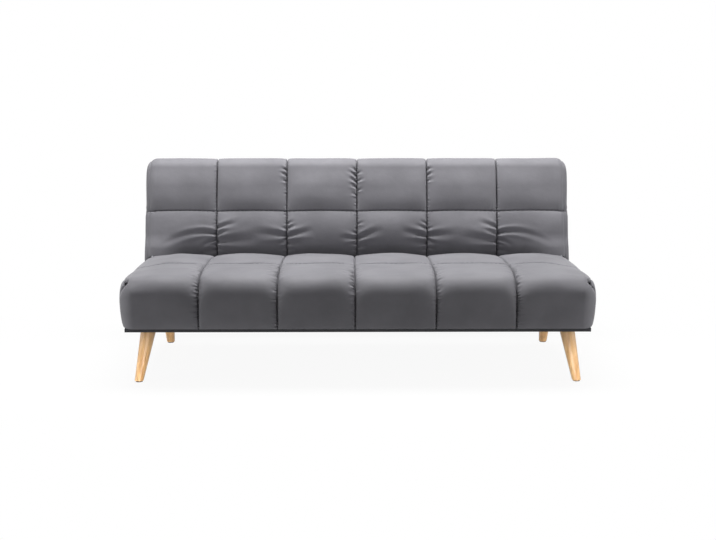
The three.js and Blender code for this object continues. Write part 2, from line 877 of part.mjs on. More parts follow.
// The rim of the ratchet: round, with a pocket for the tooth at the sofa, lounge and flat poses.
// The rim turns with the backrest, so a pose's pocket lies its recline ahead of the tooth.
function ratchetOutline() {
  const flatRecline = Math.PI / 2 - backLean;
  const tooth = pawlAngle + backLean;
  const points = [];
  for (const recline of [0, loungeRecline, flatRecline]) {
    const from = tooth + recline - pawlHalfTooth - releaseFold - pocketLead;
    const to = tooth + recline + pawlHalfTooth + pocketLag;
    const floor = ratchetRadius - ratchetDepth;
    points.push(
      polar(ratchetRadius, from),
      polar(floor, from),
      polar(floor, (from + to) / 2),
      polar(floor, to),
      polar(ratchetRadius, to),
    );
  }
  const start = tooth + flatRecline + pawlHalfTooth + pocketLag;
  const finish = 2 * Math.PI + tooth - pawlHalfTooth - releaseFold - pocketLead;
  for (let i = 1; i < roundSides; i++) {
    points.push(polar(ratchetRadius, THREE.MathUtils.lerp(start, finish, i / roundSides)));
  }
  return points;
}

function backPlate(side) {
  const thickness = onSide(side, backPlateX, backPlateOuterX);
  const through = onSide(side, backPlateX - cutOverrun, backPlateOuterX + cutOverrun);
  const arm = wrap([
    ...circle(new THREE.Vector2(), armNeckRadius),
    new THREE.Vector2(armFootNear, armFootHigh),
    new THREE.Vector2(armFootFar, armFootHigh),
    new THREE.Vector2(armFootFar, armFootLow),
  ]);
  const boltHoles = backPlateBoltPlaces().map(([y, z]) =>
    rod(through, y, z, plateBoltRadius + boltClearance),
  );
  return cut(
    join(plate(ratchetOutline(), thickness), plate(arm, thickness)),
    rod(through, 0, 0, pivotBoltRadius + boltClearance),
    ...boltHoles,
  );
}

function backFrame(group) {
  const depth = [backFrameY, backPanelY - jointGap];
  const inner = backFrameHalfWidth - backRailThickness;
  const between = [-inner + jointGap, inner - jointGap];
  const bottomRailTop = backFrameBottomZ + backRailThickness;
  const topRailBottom = backFrameTopZ - backRailThickness;
  const bottomRail = box(between, depth, [backFrameBottomZ, bottomRailTop]);
  const topRail = box(between, depth, [topRailBottom, backFrameTopZ]);
  addPiece(group, "back_bottom_rail", bottomRail, timber());
  addPiece(group, "back_top_rail", topRail, timber());
  for (const [name, side] of sideNames) {
    const range = onSide(side, inner, backFrameHalfWidth);
    const stile = box(range, depth, [backFrameBottomZ, backFrameTopZ]);
    const through = onSide(side, inner - cutOverrun, backFrameHalfWidth + cutOverrun);
    const holes = backPlateBoltPlaces().map(([y, z]) =>
      rod(through, y, z, plateBoltRadius + boltClearance),
    );
    addPiece(group, `back_${name}_stile`, cut(stile, ...holes), timber());
    const postMiddle = side * backPostHalfSpread;
    const post = box(
      [postMiddle - backRailThickness / 2, postMiddle + backRailThickness / 2],
      depth,
      [bottomRailTop + jointGap, topRailBottom - jointGap],
    );
    addPiece(group, `back_${name}_post`, post, timber());
  }
  const edge = backFrameHalfWidth;
  const panelDepth = [backPanelY, backRearY];
  const panel = box([-edge, edge], panelDepth, [backFrameBottomZ, backFrameTopZ]);
  addPiece(group, "back_panel", panel, blackCloth());
}

// Elastic belts stretched over the front of the backrest's frame, up its columns and across.
function backWebbing() {
  const depth = [webbingY, webbingY + webbingThickness];
  const half = webbingWidth / 2;
  const heights = [backFrameBottomZ + jointGap, backFrameTopZ - jointGap];
  const edge = backFrameHalfWidth - jointGap;
  const upBelts = Array.from({ length: columnCount }, (_, column) => {
    const x = (column + 1 / 2) * columnWidth - halfWidth;
    return box([x - half, x + half], depth, heights);
  });
  const acrossBelts = [1, 2].map((third) => {
    const z = THREE.MathUtils.lerp(...heights, third / 3);
    return box([-edge, edge], depth, [z - half, z + half]);
  });
  return join(...acrossBelts, ...upBelts);
}

function backPlateBolt(side, [y, z]) {
  const steps = [
    [plateBoltRadius, backPlateOuterX + jointGap],
    [plateBoltHeadRadius, backPlateOuterX + jointGap + plateBoltHeadHeight],
  ];
  return fastener(side, backFrameHalfWidth - backRailThickness + jointGap, steps, y, z);
}

function backrest() {
  const group = new THREE.Group();
  addPiece(group, "back_cushion", backCushion(), cover());
  backFrame(group);
  addPiece(group, "back_webbing", backWebbing(), blackCloth());
  for (const [name, side] of sideNames) {
    addPiece(group, `${name}_back_plate`, backPlate(side), steel());
    backPlateBoltPlaces().forEach((place, i) => {
      const bolt = backPlateBolt(side, place);
      addPiece(group, `${name}_back_plate_bolt_${i + 1}`, bolt, steel());
    });
  }
  group.position.set(0, pivotY, pivotZ);
  group.rotation.x = -backLean;
  return group;
}

// The whole sofa, moved so that the part's origin is the middle of its base

const sofa = new THREE.Group();
addPiece(sofa, "seat_cushion", seatCushion(), cover());
baseBoards(sofa);
seatRails(sofa);
addPiece(sofa, "seat_springs", seatSprings(), steel());
legs(sofa);
hingeOnSeat(sofa);
sofa.add(backrest());
sofa.updateMatrixWorld(true);

const bounds = new THREE.Box3().setFromObject(sofa, true);
const middle = bounds.getCenter(new THREE.Vector3());
sofa.position.set(-middle.x, -middle.y, -bounds.min.z);

const part = new THREE.Group();
part.add(sofa);

export default part;
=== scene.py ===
"""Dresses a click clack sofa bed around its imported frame: tufted covers, turned legs, hinge steel.

Sizes are in metres, in the frame's own axes: +X along the width, +Y to the back, +Z up.
"""

from __future__ import annotations

import json
import logging
import math
from dataclasses import dataclass, field, replace
from enum import Enum
from typing import Sequence

import bpy
import numpy as np
from mathutils import Matrix, Vector

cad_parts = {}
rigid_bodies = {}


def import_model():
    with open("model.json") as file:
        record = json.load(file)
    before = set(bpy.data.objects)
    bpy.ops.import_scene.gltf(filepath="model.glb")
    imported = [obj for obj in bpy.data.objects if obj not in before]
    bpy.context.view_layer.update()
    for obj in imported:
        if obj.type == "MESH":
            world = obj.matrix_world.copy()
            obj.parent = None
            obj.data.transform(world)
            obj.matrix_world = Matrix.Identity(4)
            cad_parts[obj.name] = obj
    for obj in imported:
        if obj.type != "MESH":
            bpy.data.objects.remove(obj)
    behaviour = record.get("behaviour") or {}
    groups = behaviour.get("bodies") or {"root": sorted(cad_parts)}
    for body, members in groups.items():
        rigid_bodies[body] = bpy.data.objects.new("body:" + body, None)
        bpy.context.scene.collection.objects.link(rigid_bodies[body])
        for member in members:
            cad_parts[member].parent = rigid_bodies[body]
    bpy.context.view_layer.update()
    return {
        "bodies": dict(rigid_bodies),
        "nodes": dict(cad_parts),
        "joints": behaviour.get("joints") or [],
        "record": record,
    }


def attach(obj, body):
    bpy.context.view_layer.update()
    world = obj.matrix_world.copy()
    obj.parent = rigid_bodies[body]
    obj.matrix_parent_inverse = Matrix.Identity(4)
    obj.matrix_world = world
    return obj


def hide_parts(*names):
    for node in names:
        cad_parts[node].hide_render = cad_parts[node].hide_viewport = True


log = logging.getLogger("sofa")

Colour = tuple[float, float, float]
Socket = bpy.types.NodeSocket
Ring = dict[str, np.ndarray]


def srgb(red: int, green: int, blue: int) -> Colour:
    """Turns a colour as a screen shows it into linear light.

    Args:
        red: Red, from 0 to 255.
        green: Green, from 0 to 255.
        blue: Blue, from 0 to 255.

    Returns:
        The linear red, green and blue.
    """

    def linear(level: int) -> float:
        """Gives one channel in linear light."""
        share = level / 255
        return share / 12.92 if share <= 0.04045 else ((share + 0.055) / 1.055) ** 2.4

    return linear(red), linear(green), linear(blue)


class Recipe:
    """A material under construction: its nodes are added and linked by short calls."""

    def __init__(self, name: str) -> None:
        """Starts a material that holds only its shader and its output.

        Args:
            name: The material's name.
        """
        self.material = bpy.data.materials.new(name)
        self.material.use_nodes = True
        self.tree = self.material.node_tree
        self.shader = self.tree.nodes["Principled BSDF"]

    def add(self, kind: str, inputs: dict | None = None, **settings: object) -> bpy.types.Node:
        """Adds a node.

        Args:
            kind: The node's type name.
            inputs: Socket names with a value, or an output socket that is linked in.
            settings: The node's own settings.

        Returns:
            The new node.
        """
        node = self.tree.nodes.new(kind)
        for name, value in settings.items():
            setattr(node, name, value)
        for name, value in (inputs or {}).items():
            self.feed(node.inputs[name], value)
        return node

    def feed(self, socket: Socket, value: object) -> None:
        """Sets a socket's value, or links an output to it."""
        if isinstance(value, Socket):
            self.tree.links.new(value, socket)
        else:
            socket.default_value = value

    def shade(self, **values: object) -> None:
        """Feeds the shader's sockets, named with underscores for spaces."""
        for name, value in values.items():
            self.feed(self.shader.inputs[name.replace("_", " ")], value)

    def places(self, scale: Sequence[float] = (1, 1, 1)) -> Socket:
        """Gives object coordinates, stretched by a scale."""
        source = self.add("ShaderNodeTexCoord").outputs["Object"]
        mapping = self.add("ShaderNodeMapping", {"Vector": source, "Scale": scale})
        return mapping.outputs["Vector"]

    def noise(self, places: Socket, scale: float, detail: float = 3) -> Socket:
        """Gives a noise from 0 to 1 at a scale in cells per metre."""
        node = self.add("ShaderNodeTexNoise", {"Vector": places, "Scale": scale, "Detail": detail})
        return node.outputs["Fac"]

    def ramp(self, share: Socket, stops: Sequence[tuple[float, Colour]]) -> Socket:
        """Gives a colour for a share.

        Args:
            share: The socket with the share.
            stops: Places from 0 to 1, each with its linear colour.

        Returns:
            The colour's socket.
        """
        node = self.add("ShaderNodeValToRGB", {"Fac": share})
        elements = node.color_ramp.elements
        while len(elements) < len(stops):
            elements.new(0.5)
        for element, (place, colour) in zip(elements, stops):
            element.position = place
            element.color = (*colour, 1)
        return node.outputs["Color"]

    def two_tone(
        self, share: Socket, dark: Colour, light: Colour, contrast: Sequence[float] = (0.35, 0.65)
    ) -> Socket:
        """Gives a colour between two, which it reaches at the contrast's two shares."""
        return self.ramp(share, [(contrast[0], dark), (contrast[1], light)])

    def level(self, share: Socket, low: float, high: float) -> Socket:
        """Maps a share from 0 to 1 onto a range."""
        node = self.add("ShaderNodeMapRange", {"Value": share, "To Min": low, "To Max": high})
        return node.outputs["Result"]

    def bump(self, height: Socket, depth: float, under: object = None) -> Socket:
        """Gives a normal for a height.

        Args:
            height: The socket with the height, from 0 to 1.
            depth: What a height of 1 measures, in metres.
            under: The normal of a coarser bump below this one.

        Returns:
            The normal's socket.
        """
        inputs = {"Height": height, "Distance": depth, "Strength": 1.0}
        if under is not None:
            inputs["Normal"] = under
        return self.add("ShaderNodeBump", inputs).outputs["Normal"]


@dataclass(frozen=True)
class CoverFinish:
    """The covers' smooth grey upholstery cloth, with a fine grain and a soft sheen."""

    light: Colour = srgb(124, 123, 128)
    dark: Colour = srgb(114, 113, 118)
    patches_per_metre: float = 7
    grain_per_metre: float = 900
    grain_depth: float = 0.00012
    soft_per_metre: float = 38
    soft_depth: float = 0.0007
    roughness: tuple[float, float] = (0.52, 0.64)
    specular: float = 0.3
    sheen: float = 0.1
    sheen_roughness: float = 0.5

    def material(self) -> bpy.types.Material:
        """Builds the cloth's material."""
        recipe = Recipe("grey_cover_cloth")
        places = recipe.places()
        patches = recipe.noise(places, self.patches_per_metre)
        grain = recipe.noise(places, self.grain_per_metre, 4)
        soft = recipe.noise(places, self.soft_per_metre, 2)
        recipe.shade(
            Base_Color=recipe.two_tone(patches, self.dark, self.light),
            Roughness=recipe.level(grain, *self.roughness),
            Normal=recipe.bump(grain, self.grain_depth, recipe.bump(soft, self.soft_depth)),
            Specular_IOR_Level=self.specular,
            Sheen_Weight=self.sheen,
            Sheen_Roughness=self.sheen_roughness,
        )
        return recipe.material


@dataclass(frozen=True)
class WoodFinish:
    """Clear-lacquered light wood, with its grain along the leg."""

    light: Colour = srgb(226, 184, 130)
    middle: Colour = srgb(212, 166, 110)
    dark: Colour = srgb(188, 140, 86)
    pore: Colour = (0.72, 0.66, 0.6)
    pore_share: float = 0.45
    broad_stretch: tuple[float, float, float] = (1, 1, 0.06)
    broad_per_metre: float = 55
    fine_stretch: tuple[float, float, float] = (1, 1, 0.025)
    fine_per_metre: float = 420
    fine_depth: float = 0.0001
    roughness: tuple[float, float] = (0.34, 0.46)
    lacquer: float = 0.25
    lacquer_roughness: float = 0.28

    def material(self) -> bpy.types.Material:
        """Builds the wood's material."""
        recipe = Recipe("light_leg_wood")
        broad = recipe.noise(recipe.places(self.broad_stretch), self.broad_per_metre, 5)
        fine = recipe.noise(recipe.places(self.fine_stretch), self.fine_per_metre, 3)
        colour = recipe.ramp(broad, [(0.3, self.dark), (0.5, self.middle), (0.68, self.light)])
        pores = recipe.ramp(fine, [(0.36, self.pore), (0.52, (1, 1, 1))])
        mixed = recipe.add("ShaderNodeMix", data_type="RGBA", blend_type="MULTIPLY")
        for socket, value in ((0, self.pore_share), (6, colour), (7, pores)):
            recipe.feed(mixed.inputs[socket], value)
        recipe.shade(
            Base_Color=mixed.outputs[2],
            Roughness=recipe.level(fine, *self.roughness),
            Normal=recipe.bump(fine, self.fine_depth),
            Coat_Weight=self.lacquer,
            Coat_Roughness=self.lacquer_roughness,
        )
        return recipe.material


@dataclass(frozen=True)
class GrainFinish:
    """Sawn timber, plated steel or moulded plastic, with one grain for colour and relief."""

    name: str
    light: Colour
    dark: Colour
    per_metre: float
    detail: float
    depth: float
    roughness: float | tuple[float, float]
    stretch: tuple[float, float, float] = (1, 1, 1)
    metallic: float = 0.0
    contrast: tuple[float, float] = (0.35, 0.65)

    def material(self) -> bpy.types.Material:
        """Builds the material."""
        recipe = Recipe(self.name)
        grain = recipe.noise(recipe.places(self.stretch), self.per_metre, self.detail)
        varied = isinstance(self.roughness, tuple)
        recipe.shade(
            Base_Color=recipe.two_tone(grain, self.dark, self.light, self.contrast),
            Metallic=self.metallic,
            Roughness=recipe.level(grain, *self.roughness) if varied else self.roughness,
            Normal=recipe.bump(grain, self.depth),
        )
        return recipe.material


@dataclass(frozen=True)
class ClothFinish:
    """Thin woven or felted cloth in one dark colour."""

    name: str
    light: Colour
    dark: Colour
    threads_per_metre: float = 900
    threads_per_band: float = 20
    waviness: float = 0.6
    weave_depth: float = 0.0001
    fleck_depth: float = 0.00015
    roughness: float = 0.9

    def material(self) -> bpy.types.Material:
        """Builds the cloth's material."""
        recipe = Recipe(self.name)
        places = recipe.places()
        scale = self.threads_per_metre / self.threads_per_band
        waves = {"Vector": places, "Scale": scale, "Distortion": self.waviness}
        weave = recipe.add("ShaderNodeTexWave", waves)
        fleck = recipe.noise(places, self.threads_per_metre, 3)
        under = recipe.bump(weave.outputs["Fac"], self.weave_depth)
        recipe.shade(
            Base_Color=recipe.two_tone(fleck, self.dark, self.light),
            Roughness=self.roughness,
            Normal=recipe.bump(fleck, self.fleck_depth, under),
        )
        return recipe.material


class Finish(Enum):
    """The object's finishes, each with the maker of its material."""

    COVER = CoverFinish()
    LEG_WOOD = WoodFinish()
    TIMBER = GrainFinish(
        "frame_timber",
        srgb(214, 186, 142),
        srgb(184, 150, 104),
        per_metre=60,
        detail=5,
        depth=0.0004,
        roughness=0.72,
        stretch=(0.08, 1, 1),
    )
    STEEL = GrainFinish(
        "hinge_steel",
        srgb(176, 178, 182),
        srgb(138, 140, 145),
        per_metre=120,
        detail=4,
        depth=0.0001,
        roughness=(0.32, 0.5),
        metallic=0.9,
    )
    BAND = ClothFinish("dark_band_cloth", srgb(70, 70, 73), srgb(58, 58, 61))
    LINING = ClothFinish("black_lining_cloth", srgb(44, 44, 46), srgb(32, 32, 34))
    PLASTIC = GrainFinish(
        "glide_plastic",
        srgb(52, 52, 54),
        srgb(38, 38, 40),
        per_metre=1200,
        detail=2,
        depth=0.00006,
        roughness=0.55,
        contrast=(0.3, 0.7),
    )


class Workshop:
    """Holds the built materials and makes objects from meshes."""

    def __init__(self) -> None:
        """Starts with no material built."""
        self.materials: dict[Finish, bpy.types.Material] = {}

    def material(self, finish: Finish) -> bpy.types.Material:
        """Gives a finish's material, built at its first use."""
        if finish not in self.materials:
            self.materials[finish] = finish.value.material()
        return self.materials[finish]

    def dress(self, piece: bpy.types.Object, finish: Finish) -> None:
        """Gives an object one finish all over."""
        piece.data.materials.clear()
        piece.data.materials.append(self.material(finish))

    def mesh_piece(
        self, name: str, vertices: np.ndarray, faces: Sequence[Sequence[int]]
    ) -> bpy.types.Object:
        """Makes a smooth mesh object at the origin.

        Args:
            name: The object's name.
            vertices: The points, one per row.
            faces: The corners of each face, outwards by the right-hand rule.

        Returns:
            The new object.
        """
        mesh = bpy.data.meshes.new(name)
        mesh.from_pydata(vertices.tolist(), [], faces)
        mesh.polygons.foreach_set("use_smooth", [True] * len(mesh.polygons))
        mesh.update()
        piece = bpy.data.objects.new(name, mesh)
        bpy.context.scene.collection.objects.link(piece)
        return piece


@dataclass(frozen=True)
class Line:
    """A straight stretch of an outline."""

    start: tuple[float, float]
    end: tuple[float, float]

    def length(self) -> float:
        """Gives the stretch's length."""
        return math.dist(self.start, self.end)

    def at(self, shares: np.ndarray) -> tuple[np.ndarray, np.ndarray]:
        """Gives points and outward normals at shares of the stretch."""
        start, end = np.array(self.start), np.array(self.end)
        along = (end - start) / self.length()
        points = start + np.outer(shares, end - start)
        normals = np.tile([-along[1], along[0]], (len(shares), 1))
        return points, normals


@dataclass(frozen=True)
class Quarter:
    """A quarter of a circle in an outline, clockwise from an angle in degrees."""

    centre: tuple[float, float]
    radius: float
    start: float

    def length(self) -> float:
        """Gives the stretch's length."""
        return self.radius * math.pi / 2

    def at(self, shares: np.ndarray) -> tuple[np.ndarray, np.ndarray]:
        """Gives points and outward normals at shares of the stretch."""
        angles = math.radians(self.start) - shares * math.pi / 2
        normals = np.stack([np.cos(angles), np.sin(angles)], axis=1)
        return np.array(self.centre) + self.radius * normals, normals


@dataclass(frozen=True)
class Row:
    """The stretches of an outline between two seams."""

    stretches: tuple[Line | Quarter, ...]
    steps: int
    swell: float = 1.0
    flatness: float = 2.4
    power: float = 0.75
    skew: float = 1.0
    evenness: float = 0.35
    start_rise: float = 0.0
    end_rise: float = 0.0

    def length(self) -> float:
        """Gives the row's length."""
        return sum(stretch.length() for stretch in self.stretches)

    def shares(self) -> np.ndarray:
        """Gives the places of the row's rings, closer together at its seams."""
        return eased_shares(self.steps, self.evenness)[:-1]

    def rise(self, shares: np.ndarray) -> np.ndarray:
        """Gives the padding's rise at shares of the row, from its seams' own rises."""
        risen = self.swell * swell(shares**self.skew, self.flatness, self.power)
        held = self.start_rise * smooth_step(0.5 - shares, 0, 0.5)
        held = held + self.end_rise * smooth_step(shares - 0.5, 0, 0.5)
        return held + (1 - held) * risen

    def at(self, shares: np.ndarray) -> tuple[np.ndarray, np.ndarray]:
        """Gives points and outward normals at shares of the row."""
        points = np.zeros((len(shares), 2))
        normals = np.zeros((len(shares), 2))
        distance = shares * self.length()
        before = 0.0
        for stretch in self.stretches:
            size = stretch.length()
            inside = (distance >= before - 1e-9) & (distance <= before + size + 1e-9)
            local = np.clip((distance[inside] - before) / size, 0, 1)
            points[inside], normals[inside] = stretch.at(local)
            before += size
        return points, normals


def eased_shares(steps: int, evenness: float = 0.22) -> np.ndarray:
    """Gives shares from 0 to 1 that lie closer together at both ends.

    Args:
        steps: How many gaps there are.
        evenness: 1 for even gaps, and less for gaps that shrink towards the ends.

    Returns:
        The shares, one more than the steps.
    """
    even = np.linspace(0, 1, steps + 1)
    drawn_in = (1 - np.cos(math.pi * even)) / 2
    return evenness * even + (1 - evenness) * drawn_in


def swell(shares: np.ndarray, flatness: float | np.ndarray, power: float) -> np.ndarray:
    """Gives how far padding has risen at shares of the way from one seam to the next."""
    inside = np.clip(1 - np.abs(2 * shares - 1) ** flatness, 0, 1)
    return inside**power


def smooth_step(values: np.ndarray, low: float, high: float) -> np.ndarray:
    """Gives 0 below low, 1 above high and a smooth rise between."""
    share = np.clip((values - low) / (high - low), 0, 1)
    return share * share * (3 - 2 * share)


def bell(values: np.ndarray, reach: float | np.ndarray) -> np.ndarray:
    """Gives 1 where the values are 0, and less by a smooth bell curve away from it."""
    return np.exp(-((values / reach) ** 2))


class Ripple:
    """A smooth irregular wave along a line, the same on each run."""

    def __init__(self, rng: np.random.Generator, period: float, waves: int = 5) -> None:
        """Draws the wave.

        Args:
            rng: The source of random numbers.
            period: The usual length of a wave.
            waves: How many sines make it up.
        """
        self.periods = period * rng.uniform(0.75, 1.4, waves)
        self.phases = rng.uniform(0, 2 * math.pi, waves)

    def at(self, distance: np.ndarray) -> np.ndarray:
        """Gives the wave's height, mostly from -1 to 1, at distances along the line."""
        total = np.zeros_like(distance)
        for period, phase in zip(self.periods, self.phases):
            total += np.sin(2 * math.pi * distance / period + phase)
        return total / math.sqrt(len(self.periods))


@dataclass(frozen=True)
class Fold:
    """A crease that runs from a seam into a panel."""

    x: float
    start: float
    side: int
    angle: float
    length: float
    width: float
    depth: float
    bend: float = 0.0
    widening: float = 1.1
    fading: float = 1.2
    mouth: float = 0.004
    sharpness: float = 1.4
    ridge_place: float = 1.9
    ridge_share: float = 0.45

    def dent(self, x: np.ndarray, run: np.ndarray) -> np.ndarray:
        """Gives the surface's change along its normal: a valley with a low ridge on each side.

        Args:
            x: Places along the sofa.
            run: Places along the outline's row.

        Returns:
            The change in metres.
        """
        turn = math.radians(self.angle)
        dx, dy = self.side * (x - self.x), run - self.start
        along = (dx * math.cos(turn) + dy * math.sin(turn)) / self.length
        across = dy * math.cos(turn) - dx * math.sin(turn)
        inside = np.clip(along, 0, 1)
        across = (across - self.bend * inside**2) / (self.width * (1 + self.widening * inside))
        fade = np.where(along < 0, 0, np.clip(1 - along, 0, 1) ** self.fading)
        fade = fade * smooth_step(dx, 0, self.mouth)
        valley = np.exp(-(np.abs(across) ** self.sharpness))
        ridge = sum(bell(across + side * self.ridge_place, 1) for side in (-1, 1))
        return self.depth * fade * (self.ridge_share * ridge - valley)


@dataclass(frozen=True)
class FoldPlan:
    """A fold wanted at a column seam, counted from the left, with its height on the cushion."""

    seam: int
    side: int
    height: float
    angle: float
    length: float
    width: float
    depth: float
    bend: float = 0.0
    turn_spread: float = 2.0
    lengths: tuple[float, float] = (0.93, 1.1)
    depths: tuple[float, float] = (0.9, 1.1)

    def mirrored(self, columns: int) -> FoldPlan:
        """Gives the same fold at the mirrored seam."""
        return replace(self, seam=columns - self.seam, side=-self.side)

    def fold(self, place: float, row_start: float, rng: np.random.Generator) -> Fold:
        """Gives the fold itself, with a little chance in its run.

        Args:
            place: The seam's place along the sofa.
            row_start: The row's height on the cushion at its start.
            rng: The source of random numbers.

        Returns:
            The fold.
        """
        return Fold(
            x=place,
            start=self.height - row_start,
            side=self.side,
            angle=self.angle + rng.normal(0, self.turn_spread),
            length=self.length * rng.uniform(*self.lengths),
            width=self.width,
            depth=self.depth * rng.uniform(*self.depths),
            bend=self.bend,
        )


@dataclass
class TuftedForm:
    """A padded cover: columns and rows of pads between sewn seams, with pillowed ends."""

    # The whole cover and its rounded ends.
    half_width: float
    end_crown: float
    end_steps: int
    gathered_rows: tuple[int, ...]
    seed: int
    crown: float = 0.018
    end_radius: float = 0.03
    end_gap: float = 0.002
    cap_steps: int = 14
    side_power: float = 0.6
    # The columns' pads.
    columns: int = 6
    column_width: float = 0.302
    column_steps: int = 52
    column_flatness: float = 8.0
    inward_flatness: float = 5.0
    column_power: float = 0.5
    seam_drift: tuple[float, ...] = (0.0, 0.0, 0.0, 0.0, 0.0)
    # The stitches and the grooves that they draw.
    stitch_period: float = 0.0085
    stitch_share: float = 0.45
    groove_depth: float = 0.01
    groove_width: float = 0.0024
    inner_groove_width: float = 0.0024
    row_groove_depth: float = 0.007
    end_row_groove: float = 1.0
    row_stitch: float = 0.016
    row_stitch_share: float = 0.5
    seam_arch: float = 0.004
    arch_reach: float = 0.03
    # The seam round the side panel, and the tuck in its corner.
    gusset_angle: float = math.radians(42)
    gusset_depth: float = 0.004
    gusset_width: float = 0.0035
    notch: float = 0.0
    notch_reach: float = 0.006
    corner_turn: tuple[float, float] = (0.86, -0.5)
    # The short gathers beside the column seams.
    gather_step: float = 0.012
    gather_length: float = 0.013
    gather_width: float = 0.0028
    gather_depth: float = 0.0035
    gather_turn: float = 14.0
    gather_lengths: tuple[float, float] = (0.5, 1.5)
    gather_depths: tuple[float, float] = (0.5, 1.2)
    gather_steps: tuple[float, float] = (0.75, 1.3)
    gather_power: float = 0.7
    inner_share: float = 0.45
    inner_length: float = 0.4
    fold_reach: float = 5.0
    # The puckers along the row seams.
    row_pucker_period: float = 0.015
    row_pucker_depth: float = 0.00294
    row_pucker_offset: float = 0.4
    row_pucker_reach: float = 0.009
    row_pucker_start: float = 0.0035
    pucker_patch: float = 0.2
    pucker_strength: tuple[float, float] = (0.3, 0.5)
    pucker_range: tuple[float, float] = (0.05, 1.0)
    # The padding's unevenness.
    uneven_depth: float = 0.0009
    uneven_waves: int = 9
    uneven_pitch: tuple[float, float] = (8, 34)

    def rows(self, inset: float) -> list[Row]:
        """Gives the outline's rows, drawn in by an inset. Each form has its own."""
        raise NotImplementedError

    def stations(self) -> np.ndarray:
        """Gives the rings' places along the sofa between its rounded ends."""
        straight = self.half_width - self.end_radius
        half = self.column_width * self.columns / 2
        places = [
            (column + share) * self.column_width - half
            for column in range(self.columns)
            for share in eased_shares(self.column_steps)[:-1]
        ]
        inner = [x for x in places if abs(x) < straight - self.end_gap]
        return np.array([-straight, *inner, straight])

    def column_share(self, x: np.ndarray) -> np.ndarray:
        """Gives how far across its column each place along the sofa lies."""
        half = self.column_width * self.columns / 2
        along = np.clip((x + half) / self.column_width, 0, self.columns)
        return along - np.floor(along)

    def inward(self, x: np.ndarray) -> np.ndarray:
        """Says which places lie in the half of their column that is nearer the sofa's middle."""
        return (self.column_share(x) > 0.5) == (x < 0)

    def column_rise(self, x: np.ndarray) -> np.ndarray:
        """Gives the columns' share of the padding's rise at places along the sofa."""
        flatness = np.where(self.inward(x), self.inward_flatness, self.column_flatness)
        return swell(self.column_share(x), flatness, self.column_power)

    def rise(self, x: np.ndarray, ring: Ring) -> np.ndarray:
        """Gives the padding's rise as rings by points. A form may have its own."""
        return np.outer(self.column_rise(x), ring["rise"])

    def seam_places(self) -> np.ndarray:
        """Gives the column seams' places along the sofa."""
        return (np.arange(1, self.columns) - self.columns / 2) * self.column_width

    def ring(self, inset: float) -> Ring:
        """Gives one outline's points, with what the padding does at each of them.

        Args:
            inset: How far the outline is drawn in.

        Returns:
            By name: the points ("at"), their normals, the rise, the row numbers, the distances
            along the row from its start ("run"), round the outline, and to the nearest sewn row
            seam, and 1 where there is padding.
        """
        rows = self.rows(inset)
        parts = []
        for number, row in enumerate(rows):
            before, after = rows[number - 1], rows[(number + 1) % len(rows)]
            shares = row.shares()
            run = shares * row.length()
            seam = np.full(len(shares), 1.0)
            if row.swell and before.swell:
                seam = np.minimum(seam, run)
            if row.swell and after.swell:
                seam = np.minimum(seam, row.length() - run)
            padded = np.full(len(shares), float(row.swell > 0))
            padded[0] = float(row.swell > 0 or before.swell > 0)
            numbers = np.full(len(shares), number)
            parts.append((*row.at(shares), row.rise(shares), numbers, run, seam, padded))
        names = ("at", "normal", "rise", "row", "run", "seam", "padded")
        joined = {name: np.concatenate(values) for name, values in zip(names, zip(*parts))}
        steps = np.diff(joined["at"], axis=0, prepend=joined["at"][:1])
        joined["round"] = np.cumsum(np.hypot(*steps.T))
        return joined

    def drifted(self, x: np.ndarray) -> np.ndarray:
        """Moves places along the sofa with the column seams, which aren't sewn quite evenly."""
        places = [-self.half_width, *self.seam_places(), self.half_width]
        return x + np.interp(x, places, [0, *self.seam_drift, 0])

    def side_share(self, ring: Ring) -> np.ndarray:
        """Gives how far the side panel has swelled out along the outline."""
        return ring["rise"] ** self.side_power

    def gusset_angles(self, ring: Ring) -> np.ndarray:
        """Gives where on the rounded end the side panel's seam lies, as an angle."""
        return np.full(len(ring["run"]), self.gusset_angle)

    def slotted(self, reach: float, outline: np.ndarray) -> np.ndarray:
        """Gives an end ring's outline with the hinge's slot in it. A form may have its own."""
        return outline

    def corner_tuck(self, ring: Ring, off: np.ndarray) -> np.ndarray:
        """Gives how far the cover is drawn in at the corner, by the way off the side's seam."""
        return np.zeros(len(ring["run"]))

    def gusset_dents(self, ring: Ring) -> np.ndarray:
        """Gives the depth of the seam round the side panel along the outline."""
        return np.full(len(ring["run"]), self.gusset_depth)

    def gather_size(self, run: float) -> float:
        """Gives how large the gathers are at a place of a row, 1 for the usual size."""
        return 1.0

    def gathers(self, rng: np.random.Generator, ring: Ring) -> list[tuple[int, Fold]]:
        """Gives the short creases that the stitching draws beside the column seams.

        Args:
            rng: The source of random numbers.
            ring: The outline's points.

        Returns:
            The creases, each with its row's number.
        """
        found = []
        for place in self.seam_places():
            outward = -1 if place < self.column_width / 2 else 1
            for side in (-1, 1):
                share = 1.0 if side == outward else self.inner_share
                reach = self.inner_length + (1 - self.inner_length) * share
                for number in self.gathered_rows:
                    end = ring["run"][ring["row"] == number].max()
                    at = self.gather_step
                    while at < end:
                        size = self.gather_size(at)
                        angle = rng.normal(0, self.gather_turn)
                        length = self.gather_length * size * reach
                        length *= rng.uniform(*self.gather_lengths)
                        width = self.gather_width * size
                        depth = self.gather_depth * size**self.gather_power
                        depth *= rng.uniform(*self.gather_depths) * share
                        found.append((number, Fold(place, at, side, angle, length, width, depth)))
                        at += self.gather_step * size * rng.uniform(*self.gather_steps)
        return found

    def folds(self, rng: np.random.Generator) -> list[tuple[int, Fold]]:
        """Gives the form's large folds, each with its row's number. A form may have its own."""
        return []

